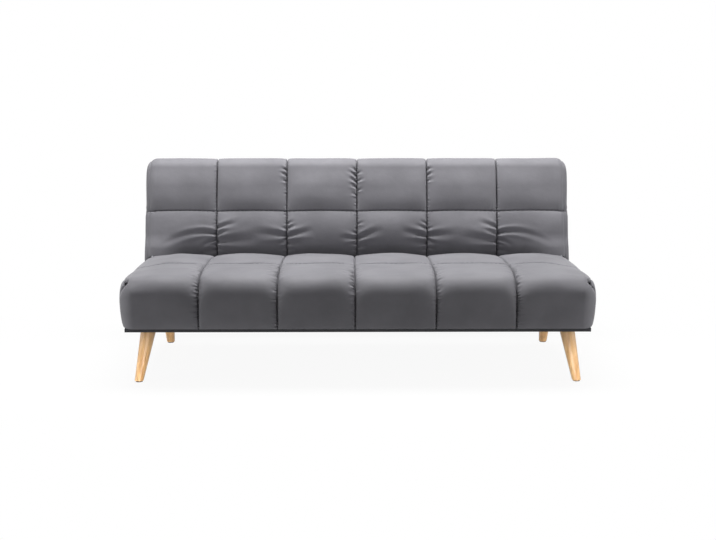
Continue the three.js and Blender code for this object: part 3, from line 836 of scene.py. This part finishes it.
    def details(self, x: np.ndarray, ring: Ring) -> np.ndarray:
        """Gives the gathers, folds, puckers and unevenness, as metres along the normal.

        Args:
            x: The rings' places along the sofa.
            ring: The outline's points.

        Returns:
            The changes, as rings by points.
        """
        rng = np.random.default_rng(self.seed)
        run = ring["run"]
        out = np.zeros((len(x), len(run)))
        for number, fold in [*self.gathers(rng, ring), *self.folds(rng)]:
            reach = fold.length + self.fold_reach * fold.width
            near_x = np.nonzero(np.abs(x - fold.x) < reach)[0]
            near_run = np.nonzero((ring["row"] == number) & (np.abs(run - fold.start) < reach))[0]
            if len(near_x) and len(near_run):
                dent = fold.dent(x[near_x][:, None], run[near_run][None])
                out[np.ix_(near_x, near_run)] += dent
        base, spread = self.pucker_strength
        near = np.exp(-ring["seam"] / self.row_pucker_reach)
        near = near * smooth_step(ring["seam"], 0, self.row_pucker_start)
        for number in np.unique(ring["row"][ring["seam"] < 1]):
            wave = Ripple(rng, self.row_pucker_period).at(x) - self.row_pucker_offset
            strength = base + spread * Ripple(rng, self.pucker_patch).at(x)
            lift = wave * np.clip(strength, *self.pucker_range)
            out += self.row_pucker_depth * np.outer(lift, near * (ring["row"] == number))
        for _ in range(self.uneven_waves):
            along, up = rng.uniform(*self.uneven_pitch), rng.uniform(*self.uneven_pitch)
            turn, lift = rng.uniform(0, 2 * math.pi, 2)
            waves = np.outer(np.sin(along * x + turn), np.sin(up * ring["round"] + lift))
            out += self.uneven_depth * waves * self.rise(x, ring)
        return out

    def beat(self, period: float, distance: np.ndarray) -> np.ndarray:
        """Gives how far each stitch pulls a seam in, more and less along it."""
        return Ripple(np.random.default_rng(self.seed), period, 2).at(distance)

    def grooves(self, x: np.ndarray, ring: Ring) -> np.ndarray:
        """Gives how far the seams' stitches draw the cover in, as rings by points."""
        places = self.seam_places()
        away = np.abs(x[:, None] - places[None, :])
        seam, nearest = away.min(axis=1), places[away.argmin(axis=1)]
        is_inner = (x - nearest) * nearest < 0
        width = np.where(is_inner, self.inner_groove_width, self.groove_width)
        stitches = 1 + self.stitch_share * self.beat(self.stitch_period, ring["round"])
        drawn = self.groove_depth * np.outer(bell(seam, width), ring["padded"] * stitches)
        is_end = np.abs(x) > (self.columns / 2 - 1) * self.column_width
        width = self.groove_width * np.where(is_end, self.end_row_groove, 1)
        stitches = 1 + self.row_stitch_share * self.beat(self.row_stitch, x)
        row_seams = stitches[:, None] * bell(ring["seam"][None], width[:, None])
        return drawn + self.row_groove_depth * row_seams

    def arches(self, x: np.ndarray, ring: Ring) -> np.ndarray:
        """Gives how far each column's row seam arches between the column seams."""
        share = self.column_share(x)
        arch = self.seam_arch * 4 * share * (1 - share)
        near = bell(ring["seam"], self.arch_reach) * (ring["seam"] < 1)
        along = np.stack([-ring["normal"][:, 1], ring["normal"][:, 0]], axis=1)
        return np.outer(arch, near)[:, :, None] * along[None]

    def body_rings(self) -> np.ndarray:
        """Gives the rings between the rounded ends, as rings by points by three."""
        x, ring = self.stations(), self.ring(0)
        out = self.crown * self.rise(x, ring) - self.grooves(x, ring) + self.details(x, ring)
        rings = np.zeros((len(x), len(ring["rise"]), 3))
        rings[:, :, 0] = self.drifted(x)[:, None]
        rings[:, :, 1:] = ring["at"][None] + ring["normal"][None] * out[:, :, None]
        rings[:, :, 1:] += self.shift(x, ring) - self.arches(x, ring)
        return rings

    def shift(self, x: np.ndarray, ring: Ring) -> np.ndarray:
        """Gives the cover's broad settling in the outline's plane. A form may have its own."""
        return np.zeros((len(x), len(ring["run"]), 2))

    def end_rings(self, side: int) -> tuple[np.ndarray, np.ndarray]:
        """Gives the rings of one end, from its rounded edge to the middle of its side panel.

        Args:
            side: 1 for the right end and -1 for the left one.

        Returns:
            The rings, and the point at their middle.
        """
        straight = self.half_width - self.end_radius
        station = np.array([straight])
        edge_details = self.details(side * station, self.ring(0))[0]
        rings = []
        for angle in np.linspace(0, math.pi / 2, self.end_steps + 1)[1:]:
            faced, turned = math.cos(angle), math.sin(angle)
            ring = self.ring(self.end_radius * (1 - faced))
            off = self.end_radius * (angle - self.gusset_angles(ring))
            rise = self.crown * self.rise(station, ring)[0] + edge_details * faced
            rise -= self.gusset_dents(ring) * bell(off, self.gusset_width) * ring["padded"]
            rise -= self.row_groove_depth * bell(ring["seam"], self.groove_width) * faced
            side_rise = self.end_crown * self.side_share(ring)
            side_rise -= self.notch * bell(ring["seam"], self.notch_reach)
            reach = straight + self.end_radius * turned
            out = np.zeros((len(rise), 3))
            out[:, 0] = side * (reach + side_rise * turned**2)
            out[:, 1:] = ring["at"] + ring["normal"] * (rise * faced)[:, None]
            out[:, 1:] += self.shift(station, ring)[0]
            out[:, 1:] += self.corner_tuck(ring, off)[:, None] * self.corner_turn
            out[:, 1:] = self.slotted(reach + self.end_crown * turned**2, out[:, 1:])
            rings.append(out)
        edge = rings[-1]
        middle = edge.mean(axis=0)
        reach = self.half_width + self.end_crown
        for share in np.linspace(1, 0, self.cap_steps + 1)[1:-1]:
            inner = middle + (edge - middle) * share
            held = share**3
            inner[:, 0] = edge[:, 0] * held + side * reach * (1 - held)
            rings.append(inner)
        middle[0] = side * reach
        return np.array(rings), middle

    def surface(self) -> tuple[np.ndarray, list[tuple[int, ...]]]:
        """Builds the whole skin.

        Returns:
            Its points and its faces.
        """
        left, left_tip = self.end_rings(-1)
        right, right_tip = self.end_rings(1)
        rings = np.concatenate([left[::-1], self.body_rings(), right])
        vertices = np.concatenate([rings.reshape(-1, 3), [left_tip, right_tip]])
        here = np.arange(len(vertices) - 2).reshape(rings.shape[:2])
        after = np.roll(here, -1, axis=1)
        quads = np.stack([here[:-1], here[1:], after[1:], after[:-1]], axis=2)
        faces = [tuple(quad) for quad in quads.reshape(-1, 4).tolist()]
        left_rim, right_rim = zip(here[0], after[0]), zip(here[-1], after[-1])
        for (i, j), (k, m) in zip(left_rim, right_rim):
            faces.append((len(vertices) - 2, int(i), int(j)))
            faces.append((len(vertices) - 1, int(m), int(k)))
        return vertices, faces


@dataclass
class SeatForm(TuftedForm):
    """The seat's cover, with its front rolled over and gathers along its column seams."""

    # Its outline and its ends.
    half_width: float = 0.888
    depth: float = 0.62
    bottom: float = 0.215
    top: float = 0.4036
    row_seam: float = 0.28
    front_radius: float = 0.057
    rear_radius: float = 0.025
    rear_room: float = 0.002
    end_crown: float = 0.017
    end_radius: float = 0.042
    end_steps: int = 30
    seed: int = 23
    # The pads.
    seam_drift: tuple[float, ...] = (0.001, -0.003, -0.011, -0.006, -0.005)
    seam_rise: float = 0.42
    column_steps: int = 46
    column_flatness: float = 6.5
    inward_flatness: float = 4.0
    rear_flatness: float = 2.5
    rear_power: float = 0.7
    rear_reach: tuple[float, float] = (0.15, 0.55)
    end_flatness: float = 1.4
    top_edge: tuple[float, float] = (0.05, 0.012)
    end_row_groove: float = 2.0
    inner_groove_width: float = 0.003
    # How the top settles from front to rear, and how much lower its ends lie.
    settle_places: tuple[float, ...] = (0.0, 0.05, 0.15, 0.28, 0.42, 0.52, 0.62)
    settle_heights: tuple[float, ...] = (-0.0055, -0.0045, 0.003, 0.004, -0.001, -0.010, -0.019)
    sink_places: tuple[float, ...] = (0.05, 0.3, 0.42, 0.56)
    sink_depths: tuple[float, ...] = (-0.004, 0.012, 0.011, 0.002)
    # The front edge, drawn in at the column seams.
    roll_share: float = 0.3
    corner_draw: float = 0.015
    draw_reach: float = 0.06
    draw_width: float = 0.034
    draw_power: float = 1.3
    gathered_rows: tuple[int, ...] = (0,)
    gather_step: float = 0.009
    gather_length: float = 0.021
    gather_width: float = 0.0027
    gather_depth: float = 0.0072
    gather_turn: float = 7.0
    top_gathers: float = 0.9
    top_gather_reach: float = 0.06
    # The side panel's seam, and the tuck where it turns over the front edge.
    gusset_angle: float = math.radians(37)
    gusset_turn: float = math.radians(46)
    gusset_width: float = 0.0045
    gusset_reach: float = 0.05
    corner_dent: float = 0.04
    corner_reach: float = 0.0095
    corner_width: float = 0.0062
    corner_lift: float = 0.012
    corner_deepening: float = 4.0

    def rows(self, inset: float) -> list[Row]:
        """Gives the rows, from the bottom of the front face over the top to the rear."""
        top = self.top - inset
        front = inset
        roll = front + self.front_radius
        rear = self.depth - self.rear_radius
        front_row = Row(
            (
                Line((front, self.bottom), (front, top - self.front_radius)),
                Quarter((roll, top - self.front_radius), self.front_radius, 180),
                Line((roll, top), (self.row_seam, top)),
            ),
            steps=226,
            flatness=3.0,
            power=0.8,
            evenness=0.85,
            end_rise=self.seam_rise,
        )
        rear_row = Row(
            (
                Line((self.row_seam, top), (rear, top)),
                Quarter((rear, top - self.rear_radius), self.rear_radius, 90),
            ),
            steps=72,
            flatness=2.2,
            power=0.4,
            start_rise=self.seam_rise,
        )
        rear_face = Row(
            (Line((self.depth, top - self.rear_radius), (self.depth, self.bottom)),),
            steps=8,
            swell=0,
        )
        under = Row((Line((self.depth, self.bottom), (front, self.bottom)),), steps=8, swell=0)
        return [front_row, rear_row, rear_face, under]

    def topness(self, ring: Ring) -> np.ndarray:
        """Gives 0 down the faces and 1 on the top."""
        below, above = self.top_edge
        return smooth_step(ring["at"][:, 1], self.top - below, self.top - above)

    def rise(self, x: np.ndarray, ring: Ring) -> np.ndarray:
        """Rounds the pads more towards the rear, and lets the end pads fall away at the ends."""
        top = self.topness(ring)
        rear = top * smooth_step(ring["at"][:, 0], *self.rear_reach)
        share = self.column_share(x)
        flat = self.column_rise(x)
        round_pad = swell(share, self.rear_flatness, self.rear_power)
        columns = flat[:, None] * (1 - rear)[None] + round_pad[:, None] * rear[None]
        outer = np.clip(self.half_width - np.abs(x), 0, self.column_width / 2)
        fall = 1 - np.abs(1 - 2 * outer / self.column_width) ** self.end_flatness
        is_end = np.abs(x) > self.half_width - self.column_width / 2
        ends = np.where(is_end[:, None], fall[:, None], columns)
        columns = columns * (1 - top)[None] + ends * top[None]
        return columns * ring["rise"][None]

    def shift(self, x: np.ndarray, ring: Ring) -> np.ndarray:
        """Lets the top fall towards the rear, and sinks its ends a little below the rest."""
        settled = np.interp(ring["at"][:, 0], self.settle_places, self.settle_heights)
        lift = np.clip((ring["at"][:, 1] - self.bottom) / (self.top - self.bottom), 0, 1)
        near = smooth_step(np.abs(x), self.half_width - self.column_width / 2, self.half_width)
        moved = np.zeros((len(x), len(ring["run"]), 2))
        sink = np.interp(ring["at"][:, 0], self.sink_places, self.sink_depths)
        sink = sink * self.topness(ring)
        moved[:, :, 1] = settled * lift - np.outer(near, sink)
        front = self.front_share(ring, self.draw_reach)
        drawn = self.corner_draw * np.outer(self.seam_share(x), front)
        moved[:, :, 0] += drawn
        moved[:, :, 1] -= drawn
        return moved

    def front_share(self, ring: Ring, reach: float, lift: float = 0.0) -> np.ndarray:
        """Gives 1 where the outline rolls over the front edge, less within a reach of it."""
        roll = self.top - self.bottom - self.front_radius * self.roll_share + lift
        return bell(ring["run"] - roll, reach) * (ring["row"] == 0)

    def seam_share(self, x: np.ndarray) -> np.ndarray:
        """Gives 1 at a column seam, and less away from it."""
        away = np.abs(x[:, None] - self.seam_places()[None, :]).min(axis=1)
        return np.exp(-((away / self.draw_width) ** self.draw_power))

    def corner_tuck(self, ring: Ring, off: np.ndarray) -> np.ndarray:
        """Tucks the cover in where the side panel's seam turns over the front edge."""
        near = self.front_share(ring, self.corner_reach, self.corner_lift)
        return self.corner_dent * near * bell(off, self.corner_width)

    def gusset_angles(self, ring: Ring) -> np.ndarray:
        """Lets the side panel's seam run out of sight below and behind the tuck in the corner."""
        near = self.front_share(ring, self.gusset_reach, self.corner_lift)
        return self.gusset_angle + self.gusset_turn * (1 - near)

    def gusset_dents(self, ring: Ring) -> np.ndarray:
        """Draws the side panel's seam in more where it shows, at the front's upper edge."""
        near = self.front_share(ring, self.gusset_reach, self.corner_lift)
        return self.gusset_depth * (1 + self.corner_deepening * near)

    def surface(self) -> tuple[np.ndarray, list[tuple[int, ...]]]:
        """Builds the whole skin, held flat at the rear where the backrest's lower end turns."""
        vertices, faces = super().surface()
        vertices[:, 1] = np.minimum(vertices[:, 1], self.depth + self.rear_room)
        return vertices, faces

    def gather_size(self, run: float) -> float:
        """Makes the gathers larger over the top than over the front."""
        roll = self.top - self.bottom
        over = smooth_step(np.array(run), roll, roll + self.top_gather_reach)
        return float(1 + self.top_gathers * over)


@dataclass
class BackForm(TuftedForm):
    """The backrest's cover, in places with the pivot at zero and the backrest upright."""

    # Its outline and its ends.
    half_width: float = 0.892
    pivot_depth: float = 0.025
    pivot_rise: float = 0.032
    length: float = 0.4565
    thickness: float = 0.14
    row_seam: float = 0.222
    top_radius: float = 0.045
    rear_radius: float = 0.025
    heel_radius: float = 0.02
    face_inset: float = 0.5
    end_crown: float = 0.0145
    end_steps: int = 28
    seed: int = 5
    # The outline's rows, as they are numbered.
    heel_row: int = 1
    lower_row: int = 2
    upper_row: int = 3
    gathered_rows: tuple[int, ...] = (2, 3)
    # The pads.
    column_width: float = 0.3
    top_share: float = 0.35
    thin_from: float = 0.55
    thin_to: float = 0.6
    belly: float = 0.2
    belly_place: float = 0.05
    belly_reach: float = 0.045
    end_blend: float = 0.06
    end_boxy: float = 0.7
    end_share: float = 0.8
    side_fall: float = 6.0
    notch: float = 0.009
    notch_reach: float = 0.009
    # The lower edge, tucked in towards the seat but not at the hinge plates.
    tuck: float = 0.0545
    tuck_height: float = 0.222
    tuck_power: float = 1.6
    lip: float = 0.005
    lip_heights: tuple[float, float] = (0.038, 0.08)
    end_forward: float = 0.006
    plate_calm: tuple[float, float] = (0.70, 0.862)
    plate_heights: tuple[float, float] = (0.06, 0.125)
    calm_above: float = 0.5
    # The slot for the hinge's plates: its ends from the sofa's middle, its walls from the pivot.
    slot_from: float = 0.8625
    slot_to: float = 0.8855
    slot_rear: float = 0.042
    slot_top: float = 0.023
    slot_wall: float = -0.02
    slot_mouth: float = -0.007

    def rows(self, inset: float) -> list[Row]:
        """Gives the rows, from the rear bottom corner round the front to the rear."""
        front = inset * self.face_inset - self.pivot_depth
        bottom = -self.pivot_rise
        top = self.length - self.pivot_rise - inset
        rear = self.thickness - self.pivot_depth - inset * self.face_inset
        seam = bottom + self.row_seam
        heel = self.heel_radius
        under = Row((Line((rear, bottom), (front + heel, bottom)),), steps=8, swell=0)
        heel_row = Row((Quarter((front + heel, bottom + heel), heel, 270),), steps=6, swell=0)
        lower = Row(
            (Line((front, bottom + heel), (front, seam)),),
            steps=88,
            flatness=2.0,
            power=0.95,
            swell=1.1,
            start_rise=0.1,
        )
        upper = Row(
            (
                Line((front, seam), (front, top - self.top_radius)),
                Quarter((front + self.top_radius, top - self.top_radius), self.top_radius, 180),
                Line((front + self.top_radius, top), (rear - self.rear_radius, top)),
                Quarter((rear - self.rear_radius, top - self.rear_radius), self.rear_radius, 90),
            ),
            steps=132,
            flatness=2.0,
            power=1.0,
            skew=0.85,
            evenness=0.7,
        )
        rear_face = Row((Line((rear, top - self.rear_radius), (rear, bottom)),), steps=12, swell=0)
        return [under, heel_row, lower, upper, rear_face]

    def shift(self, x: np.ndarray, ring: Ring) -> np.ndarray:
        """Tucks the front's lower part in towards the seat, but clear of the hinge plates."""
        height = ring["at"][:, 1] + self.pivot_rise
        share = np.clip(1 - height / self.tuck_height, 0, 1)
        is_front = smooth_step(-ring["at"][:, 0], -self.pivot_depth, self.pivot_depth / 2)
        at_plate = smooth_step(np.abs(x), *self.plate_calm)
        moved = np.zeros((len(x), len(height), 2))
        tuck = self.tuck * share**self.tuck_power
        tuck += self.lip * (1 - smooth_step(height, *self.lip_heights))
        low = 1 - smooth_step(height, *self.plate_heights)
        calm = np.outer(at_plate, self.calm_above + (1 - self.calm_above) * low)
        moved[:, :, 0] = (1 - calm) * (tuck * is_front)[None]
        moved[:, :, 0] -= self.end_forward * np.outer(at_plate, np.sqrt(share) * is_front)
        return moved

    def slotted(self, reach: float, outline: np.ndarray) -> np.ndarray:
        """Opens the lower front corner for the hinge's plates.

        Args:
            reach: How far from the sofa's middle the ring lies.
            outline: The ring's points.

        Returns:
            The points, with those in the slot's mouth laid along the slot's walls.
        """
        rear, top, wall, mouth = self.slot_rear, self.slot_top, self.slot_wall, self.slot_mouth
        inside = np.nonzero((outline[:, 0] < rear) & (outline[:, 1] < mouth))[0]
        if not self.slot_from < reach < self.slot_to or not len(inside):
            return outline
        front = outline[inside[-1], 0]
        low = -self.pivot_rise
        path = np.array([(rear, low), (rear, top), (wall, top), (wall, mouth), (front, mouth)])
        along = np.concatenate([[0], np.cumsum(np.hypot(*np.diff(path, axis=0).T))])
        places = np.linspace(0, along[-1], len(inside))
        slotted = outline.copy()
        slotted[inside, 0] = np.interp(places, along, path[:, 0])
        slotted[inside, 1] = np.interp(places, along, path[:, 1])
        return slotted

    def rise(self, x: np.ndarray, ring: Ring) -> np.ndarray:
        """Lets the padding thin out over the top edge, where the cover is drawn tight."""
        is_upper = ring["row"] == self.upper_row
        face = self.length - self.row_seam - self.top_radius
        thin = (self.thin_from * face, face + self.thin_to * self.top_radius)
        over = smooth_step(ring["run"], *thin)
        share = np.where(is_upper, 1 - (1 - self.top_share) * over, 1)
        belly = bell(ring["run"] - self.belly_place, self.belly_reach)
        risen = ring["rise"] * share + self.belly * belly * is_upper
        inner = (self.columns / 2 - 1) * self.column_width
        is_end = smooth_step(np.abs(x), inner, inner + self.end_blend)
        boxy = np.where(ring["row"] < self.upper_row, self.end_share * risen**self.end_boxy, risen)
        mixed = risen[None] + np.outer(is_end, boxy - risen)
        return self.column_rise(x)[:, None] * mixed

    def side_share(self, ring: Ring) -> np.ndarray:
        """Keeps the side panel full down to its lower end."""
        full = (ring["row"] == self.heel_row) | (ring["row"] == self.lower_row)
        fallen = np.maximum(super().side_share(ring), 1 - self.side_fall * ring["seam"])
        return np.where(full, 1, fallen)

    def folds(self, rng: np.random.Generator) -> list[tuple[int, Fold]]:
        """Gives the folds that run from the seams, the same on both halves of the sofa."""
        middle = self.columns / 2
        plans = [*BACK_FOLDS, *(p.mirrored(self.columns) for p in BACK_FOLDS if p.seam != middle)]
        places = self.seam_places()
        found = []
        for plan in plans:
            is_upper = plan.height > self.row_seam
            start = self.row_seam if is_upper else self.heel_radius
            fold = plan.fold(places[plan.seam - 1], start, rng)
            found.append((self.upper_row if is_upper else self.lower_row, fold))
        return found


# Each fold's seam, side, height, angle, length, width, depth and bend.
BACK_FOLDS = (
    FoldPlan(1, -1, 0.127, 14, 0.21, 0.0072, 0.01275, -0.11),
    FoldPlan(1, -1, 0.102, -8, 0.085, 0.00504, 0.01054, -0.03),
    FoldPlan(1, -1, 0.084, -14, 0.06, 0.00432, 0.00765),
    FoldPlan(1, -1, 0.062, -4, 0.09, 0.0072, 0.0085, -0.02),
    FoldPlan(1, 1, 0.152, 15, 0.10, 0.00576, 0.0102),
    FoldPlan(1, 1, 0.120, 20, 0.06, 0.00504, 0.01105),
    FoldPlan(1, 1, 0.096, 4, 0.19, 0.01008, 0.0136, 0.004),
    FoldPlan(1, 1, 0.066, -5, 0.06, 0.00576, 0.0068),
    FoldPlan(2, -1, 0.118, 3, 0.15, 0.00864, 0.0119),
    FoldPlan(2, -1, 0.104, -30, 0.045, 0.00432, 0.01105),
    FoldPlan(2, -1, 0.146, 10, 0.03, 0.0036, 0.00595),
    FoldPlan(2, -1, 0.070, -15, 0.045, 0.00432, 0.00765),
    FoldPlan(2, 1, 0.166, 25, 0.04, 0.00432, 0.00595),
    FoldPlan(2, 1, 0.147, 20, 0.05, 0.00432, 0.0085),
    FoldPlan(2, 1, 0.116, 10, 0.11, 0.00648, 0.0136),
    FoldPlan(2, 1, 0.086, 0, 0.07, 0.00576, 0.00935),
    FoldPlan(2, 1, 0.062, -8, 0.045, 0.00432, 0.0068),
    FoldPlan(3, -1, 0.128, 8, 0.03, 0.0036, 0.00595),
    FoldPlan(3, -1, 0.107, -4, 0.08, 0.00576, 0.01105),
    FoldPlan(3, -1, 0.085, -15, 0.04, 0.00432, 0.00765),
    FoldPlan(3, -1, 0.062, -10, 0.06, 0.00576, 0.0068),
    FoldPlan(3, 1, 0.165, 20, 0.035, 0.0036, 0.00595),
    FoldPlan(3, 1, 0.107, 15, 0.125, 0.0072, 0.0136),
    FoldPlan(3, 1, 0.071, 5, 0.05, 0.00504, 0.00765),
    FoldPlan(3, -1, 0.395, 32, 0.04, 0.0036, 0.0085),
    FoldPlan(3, -1, 0.371, 36, 0.05, 0.0036, 0.0102),
    FoldPlan(3, -1, 0.346, 32, 0.045, 0.0036, 0.00935),
    FoldPlan(3, -1, 0.322, 28, 0.04, 0.0036, 0.0085),
    FoldPlan(3, -1, 0.292, 22, 0.03, 0.0036, 0.0068),
    FoldPlan(3, 1, 0.383, 30, 0.03, 0.0036, 0.0068),
    FoldPlan(3, 1, 0.350, 25, 0.035, 0.0036, 0.0068),
    FoldPlan(3, 1, 0.310, 20, 0.03, 0.0036, 0.00595),
    FoldPlan(2, -1, 0.398, 30, 0.035, 0.0036, 0.0068),
    FoldPlan(2, -1, 0.375, 30, 0.035, 0.0036, 0.00765),
    FoldPlan(2, -1, 0.350, 24, 0.03, 0.0036, 0.00595),
)


@dataclass
class Covers:
    """The two tufted covers, which stand for the frame's two cushions."""

    frame: dict
    workshop: Workshop
    pivot_back: float = 0.657
    lean: float = math.radians(17.5)

    def pivot(self) -> Vector:
        """Gives the backrest's pivot."""
        return Vector(self.frame["joints"][0]["pos_m"])

    def build_seat(self) -> bpy.types.Object:
        """Builds the seat's cover."""
        vertices, faces = SeatForm().surface()
        vertices[:, 1] += self.pivot().y - self.pivot_back
        piece = self.workshop.mesh_piece("seat_cover", vertices, faces)
        self.finish(piece, "seat_cushion", "seat")
        return piece

    def build_back(self) -> bpy.types.Object:
        """Builds the backrest's cover."""
        vertices, faces = BackForm().surface()
        pivot = self.pivot()
        turn = np.array(Matrix.Rotation(-self.lean, 3, "X"))
        vertices = vertices @ turn.T + np.array([0, pivot.y, pivot.z])
        piece = self.workshop.mesh_piece("back_cover", vertices, faces)
        self.finish(piece, "back_cushion", "backrest")
        return piece

    def finish(self, piece: bpy.types.Object, node: str, body: str) -> None:
        """Dresses a cover and ties it to the frame."""
        self.workshop.dress(piece, Finish.COVER)
        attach(piece, body)
        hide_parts(node)
        log.info("%s: %d points", piece.name, len(piece.data.vertices))


@dataclass
class CarriedNodes:
    """The frame's own pieces, which keep their shapes and get their finishes."""

    frame: dict
    workshop: Workshop
    finishes: dict[str, Finish] = field(
        default_factory=lambda: {
            "leg_wood": Finish.LEG_WOOD,
            "frame_timber": Finish.TIMBER,
            "dark_board": Finish.BAND,
            "back_board": Finish.LINING,
            "black_cloth": Finish.LINING,
            "hinge_steel": Finish.STEEL,
            "glide_plastic": Finish.PLASTIC,
            "cover": Finish.COVER,
        }
    )

    def dress(self) -> None:
        """Gives each piece the finish of its slot."""
        for part in self.frame["record"]["subparts"]:
            node = self.frame["nodes"][part["node"]]
            self.workshop.dress(node, self.finishes[part["material_slot"]])
        log.info("dressed %d carried pieces", len(self.frame["nodes"]))


def seen_rays(tree: bpy.types.NodeTree) -> Socket:
    """Gives 1 on the rays that show the studio: the camera's, mirrored and refracted ones."""
    path = tree.nodes.new("ShaderNodeLightPath")
    seen = path.outputs["Is Camera Ray"]
    for name in ("Is Glossy Ray", "Is Transmission Ray"):
        node = tree.nodes.new("ShaderNodeMath")
        node.operation = "MAXIMUM"
        tree.links.new(seen, node.inputs[0])
        tree.links.new(path.outputs[name], node.inputs[1])
        seen = node.outputs[0]
    return seen


@dataclass
class Studio:
    """The floor, the light and the camera."""

    camera_aside: float = -0.033
    camera_turn: float = 0.42
    camera_height: float = 1.2894
    camera_back: float = 4.8642
    camera_pitch: float = 10.83
    lens: float = 60.55
    sensor: float = 36.0
    sight: float = 100.0
    floor_half: float = 30.0
    floor_colour: Colour = (0.92, 0.92, 0.92)
    floor_roughness: float = 0.9
    floor_shadow: float = 0.07
    shadow_reach: tuple[float, float] = (0.6, 1.2)
    shadow_squeeze: float = 0.62
    bounce: Colour = (0.3, 0.3, 0.3)
    ambient: float = 0.1
    overhead_size: tuple[float, float] = (3.4, 1.0)
    overhead_place: tuple[float, float, float] = (0.0, 0.18, 2.5)
    overhead_power: float = 103.0
    side_size: tuple[float, float] = (1.2, 1.4)
    side_place: tuple[float, float, float] = (2.2, -0.8, 0.45)
    side_aim: tuple[float, float, float] = (0.6, 0.0, 0.35)
    side_power: float = 14.0
    low_size: tuple[float, float] = (2.6, 0.12)
    low_place: tuple[float, float, float] = (0.0, -1.6, 0.07)
    low_tilt: float = 88.0
    low_spread: float = 18.0
    low_power: float = 2.1

    def build(self) -> None:
        """Builds the whole studio."""
        self.floor()
        self.lamps()
        self.world()
        self.camera()
        bpy.context.scene.view_settings.view_transform = "Standard"

    def floor(self) -> None:
        """Lays a pale floor that shows white and keeps the sofa's soft shadow."""
        bpy.ops.object.select_all(action="DESELECT")
        bpy.ops.mesh.primitive_plane_add(size=2 * self.floor_half)
        floor = bpy.context.active_object
        floor.name = "floor"
        recipe = Recipe("pale_floor")
        colour = (*self.floor_colour, 1)
        recipe.shade(Base_Color=colour, Roughness=self.floor_roughness, Specular_IOR_Level=0.0)
        squeezed = recipe.places((self.shadow_squeeze, 1, 1))
        distance = recipe.add("ShaderNodeVectorMath", {0: squeezed}, operation="LENGTH")
        near, far = self.shadow_reach
        share = recipe.add(
            "ShaderNodeMapRange",
            {
                "Value": distance.outputs["Value"],
                "From Min": near,
                "From Max": far,
                "To Min": 1 - self.floor_shadow,
                "To Max": 1.0,
            },
            interpolation_type="SMOOTHSTEP",
        )
        white = recipe.add("ShaderNodeEmission", {"Color": (1, 1, 1, 1), "Strength": 1.0})
        shown = recipe.add("ShaderNodeMixShader", {"Fac": share.outputs["Result"]})
        recipe.feed(shown.inputs[1], recipe.shader.outputs[0])
        recipe.feed(shown.inputs[2], white.outputs[0])
        bounce = recipe.add("ShaderNodeBsdfDiffuse", {"Color": (*self.bounce, 1)})
        mix = recipe.add("ShaderNodeMixShader", {"Fac": seen_rays(recipe.tree)})
        recipe.feed(mix.inputs[1], bounce.outputs[0])
        recipe.feed(mix.inputs[2], shown.outputs[0])
        output = recipe.tree.nodes["Material Output"]
        recipe.feed(output.inputs["Surface"], mix.outputs[0])
        floor.data.materials.append(recipe.material)

    def lamp(
        self,
        name: str,
        size: tuple[float, float],
        power: float,
        place: Sequence[float],
        turn: Sequence[float] = (0, 0, 0),
    ) -> bpy.types.Object:
        """Sets up a soft rectangular lamp, which faces down until it is turned.

        Args:
            name: The lamp's name.
            size: Its two sides in metres.
            power: Its power in watts.
            place: Its middle.
            turn: Its turn in radians.

        Returns:
            The lamp.
        """
        light = bpy.data.lights.new(name, "AREA")
        light.shape = "RECTANGLE"
        light.size, light.size_y = size
        light.energy = power
        lamp = bpy.data.objects.new(name, light)
        lamp.location, lamp.rotation_euler = place, turn
        bpy.context.scene.collection.objects.link(lamp)
        return lamp

    def lamps(self) -> None:
        """Hangs a lamp above the seat, stands one at each side and lays one before the legs."""
        self.lamp("overhead", self.overhead_size, self.overhead_power, self.overhead_place)
        for side in (-1, 1):
            mirror = Vector((side, 1, 1))
            place, aim = Vector(self.side_place) * mirror, Vector(self.side_aim) * mirror
            turn = (aim - place).to_track_quat("-Z", "Y").to_euler()
            lamp = self.lamp("side_lamp", self.side_size, self.side_power, place, turn)
            lamp.visible_camera = False
        tilt = (math.radians(self.low_tilt), 0, 0)
        low = self.lamp("low_lamp", self.low_size, self.low_power, self.low_place, tilt)
        low.data.spread = math.radians(self.low_spread)
        low.visible_camera = False

    def world(self) -> None:
        """Sets a white background and a weak even light."""
        world = bpy.data.worlds.new("studio")
        world.use_nodes = True
        bpy.context.scene.world = world
        tree = world.node_tree
        background = tree.nodes["Background"]
        background.inputs["Color"].default_value = (1, 1, 1, 1)
        strength = tree.nodes.new("ShaderNodeMapRange")
        strength.inputs["To Min"].default_value = self.ambient
        strength.inputs["To Max"].default_value = 1.0
        tree.links.new(seen_rays(tree), strength.inputs["Value"])
        tree.links.new(strength.outputs["Result"], background.inputs["Strength"])

    def camera(self) -> None:
        """Sets up the camera at the photograph's view."""
        data = bpy.data.cameras.new("camera")
        data.lens = self.lens
        data.sensor_width = self.sensor
        data.clip_end = self.sight
        camera = bpy.data.objects.new("camera", data)
        camera.location = (self.camera_aside, -self.camera_back, self.camera_height)
        turn = -math.radians(self.camera_turn)
        camera.rotation_euler = (math.radians(90 - self.camera_pitch), 0, turn)
        bpy.context.scene.collection.objects.link(camera)
        bpy.context.scene.camera = camera


def main() -> None:
    """Builds the dressed sofa bed in its studio."""
    logging.basicConfig(level=logging.INFO, format="%(name)s: %(message)s")
    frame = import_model()
    bpy.ops.object.select_all(action="DESELECT")
    workshop = Workshop()
    CarriedNodes(frame, workshop).dress()
    covers = Covers(frame, workshop)
    covers.build_seat()
    covers.build_back()
    Studio().build()


if __name__ == "__main__":
    main()
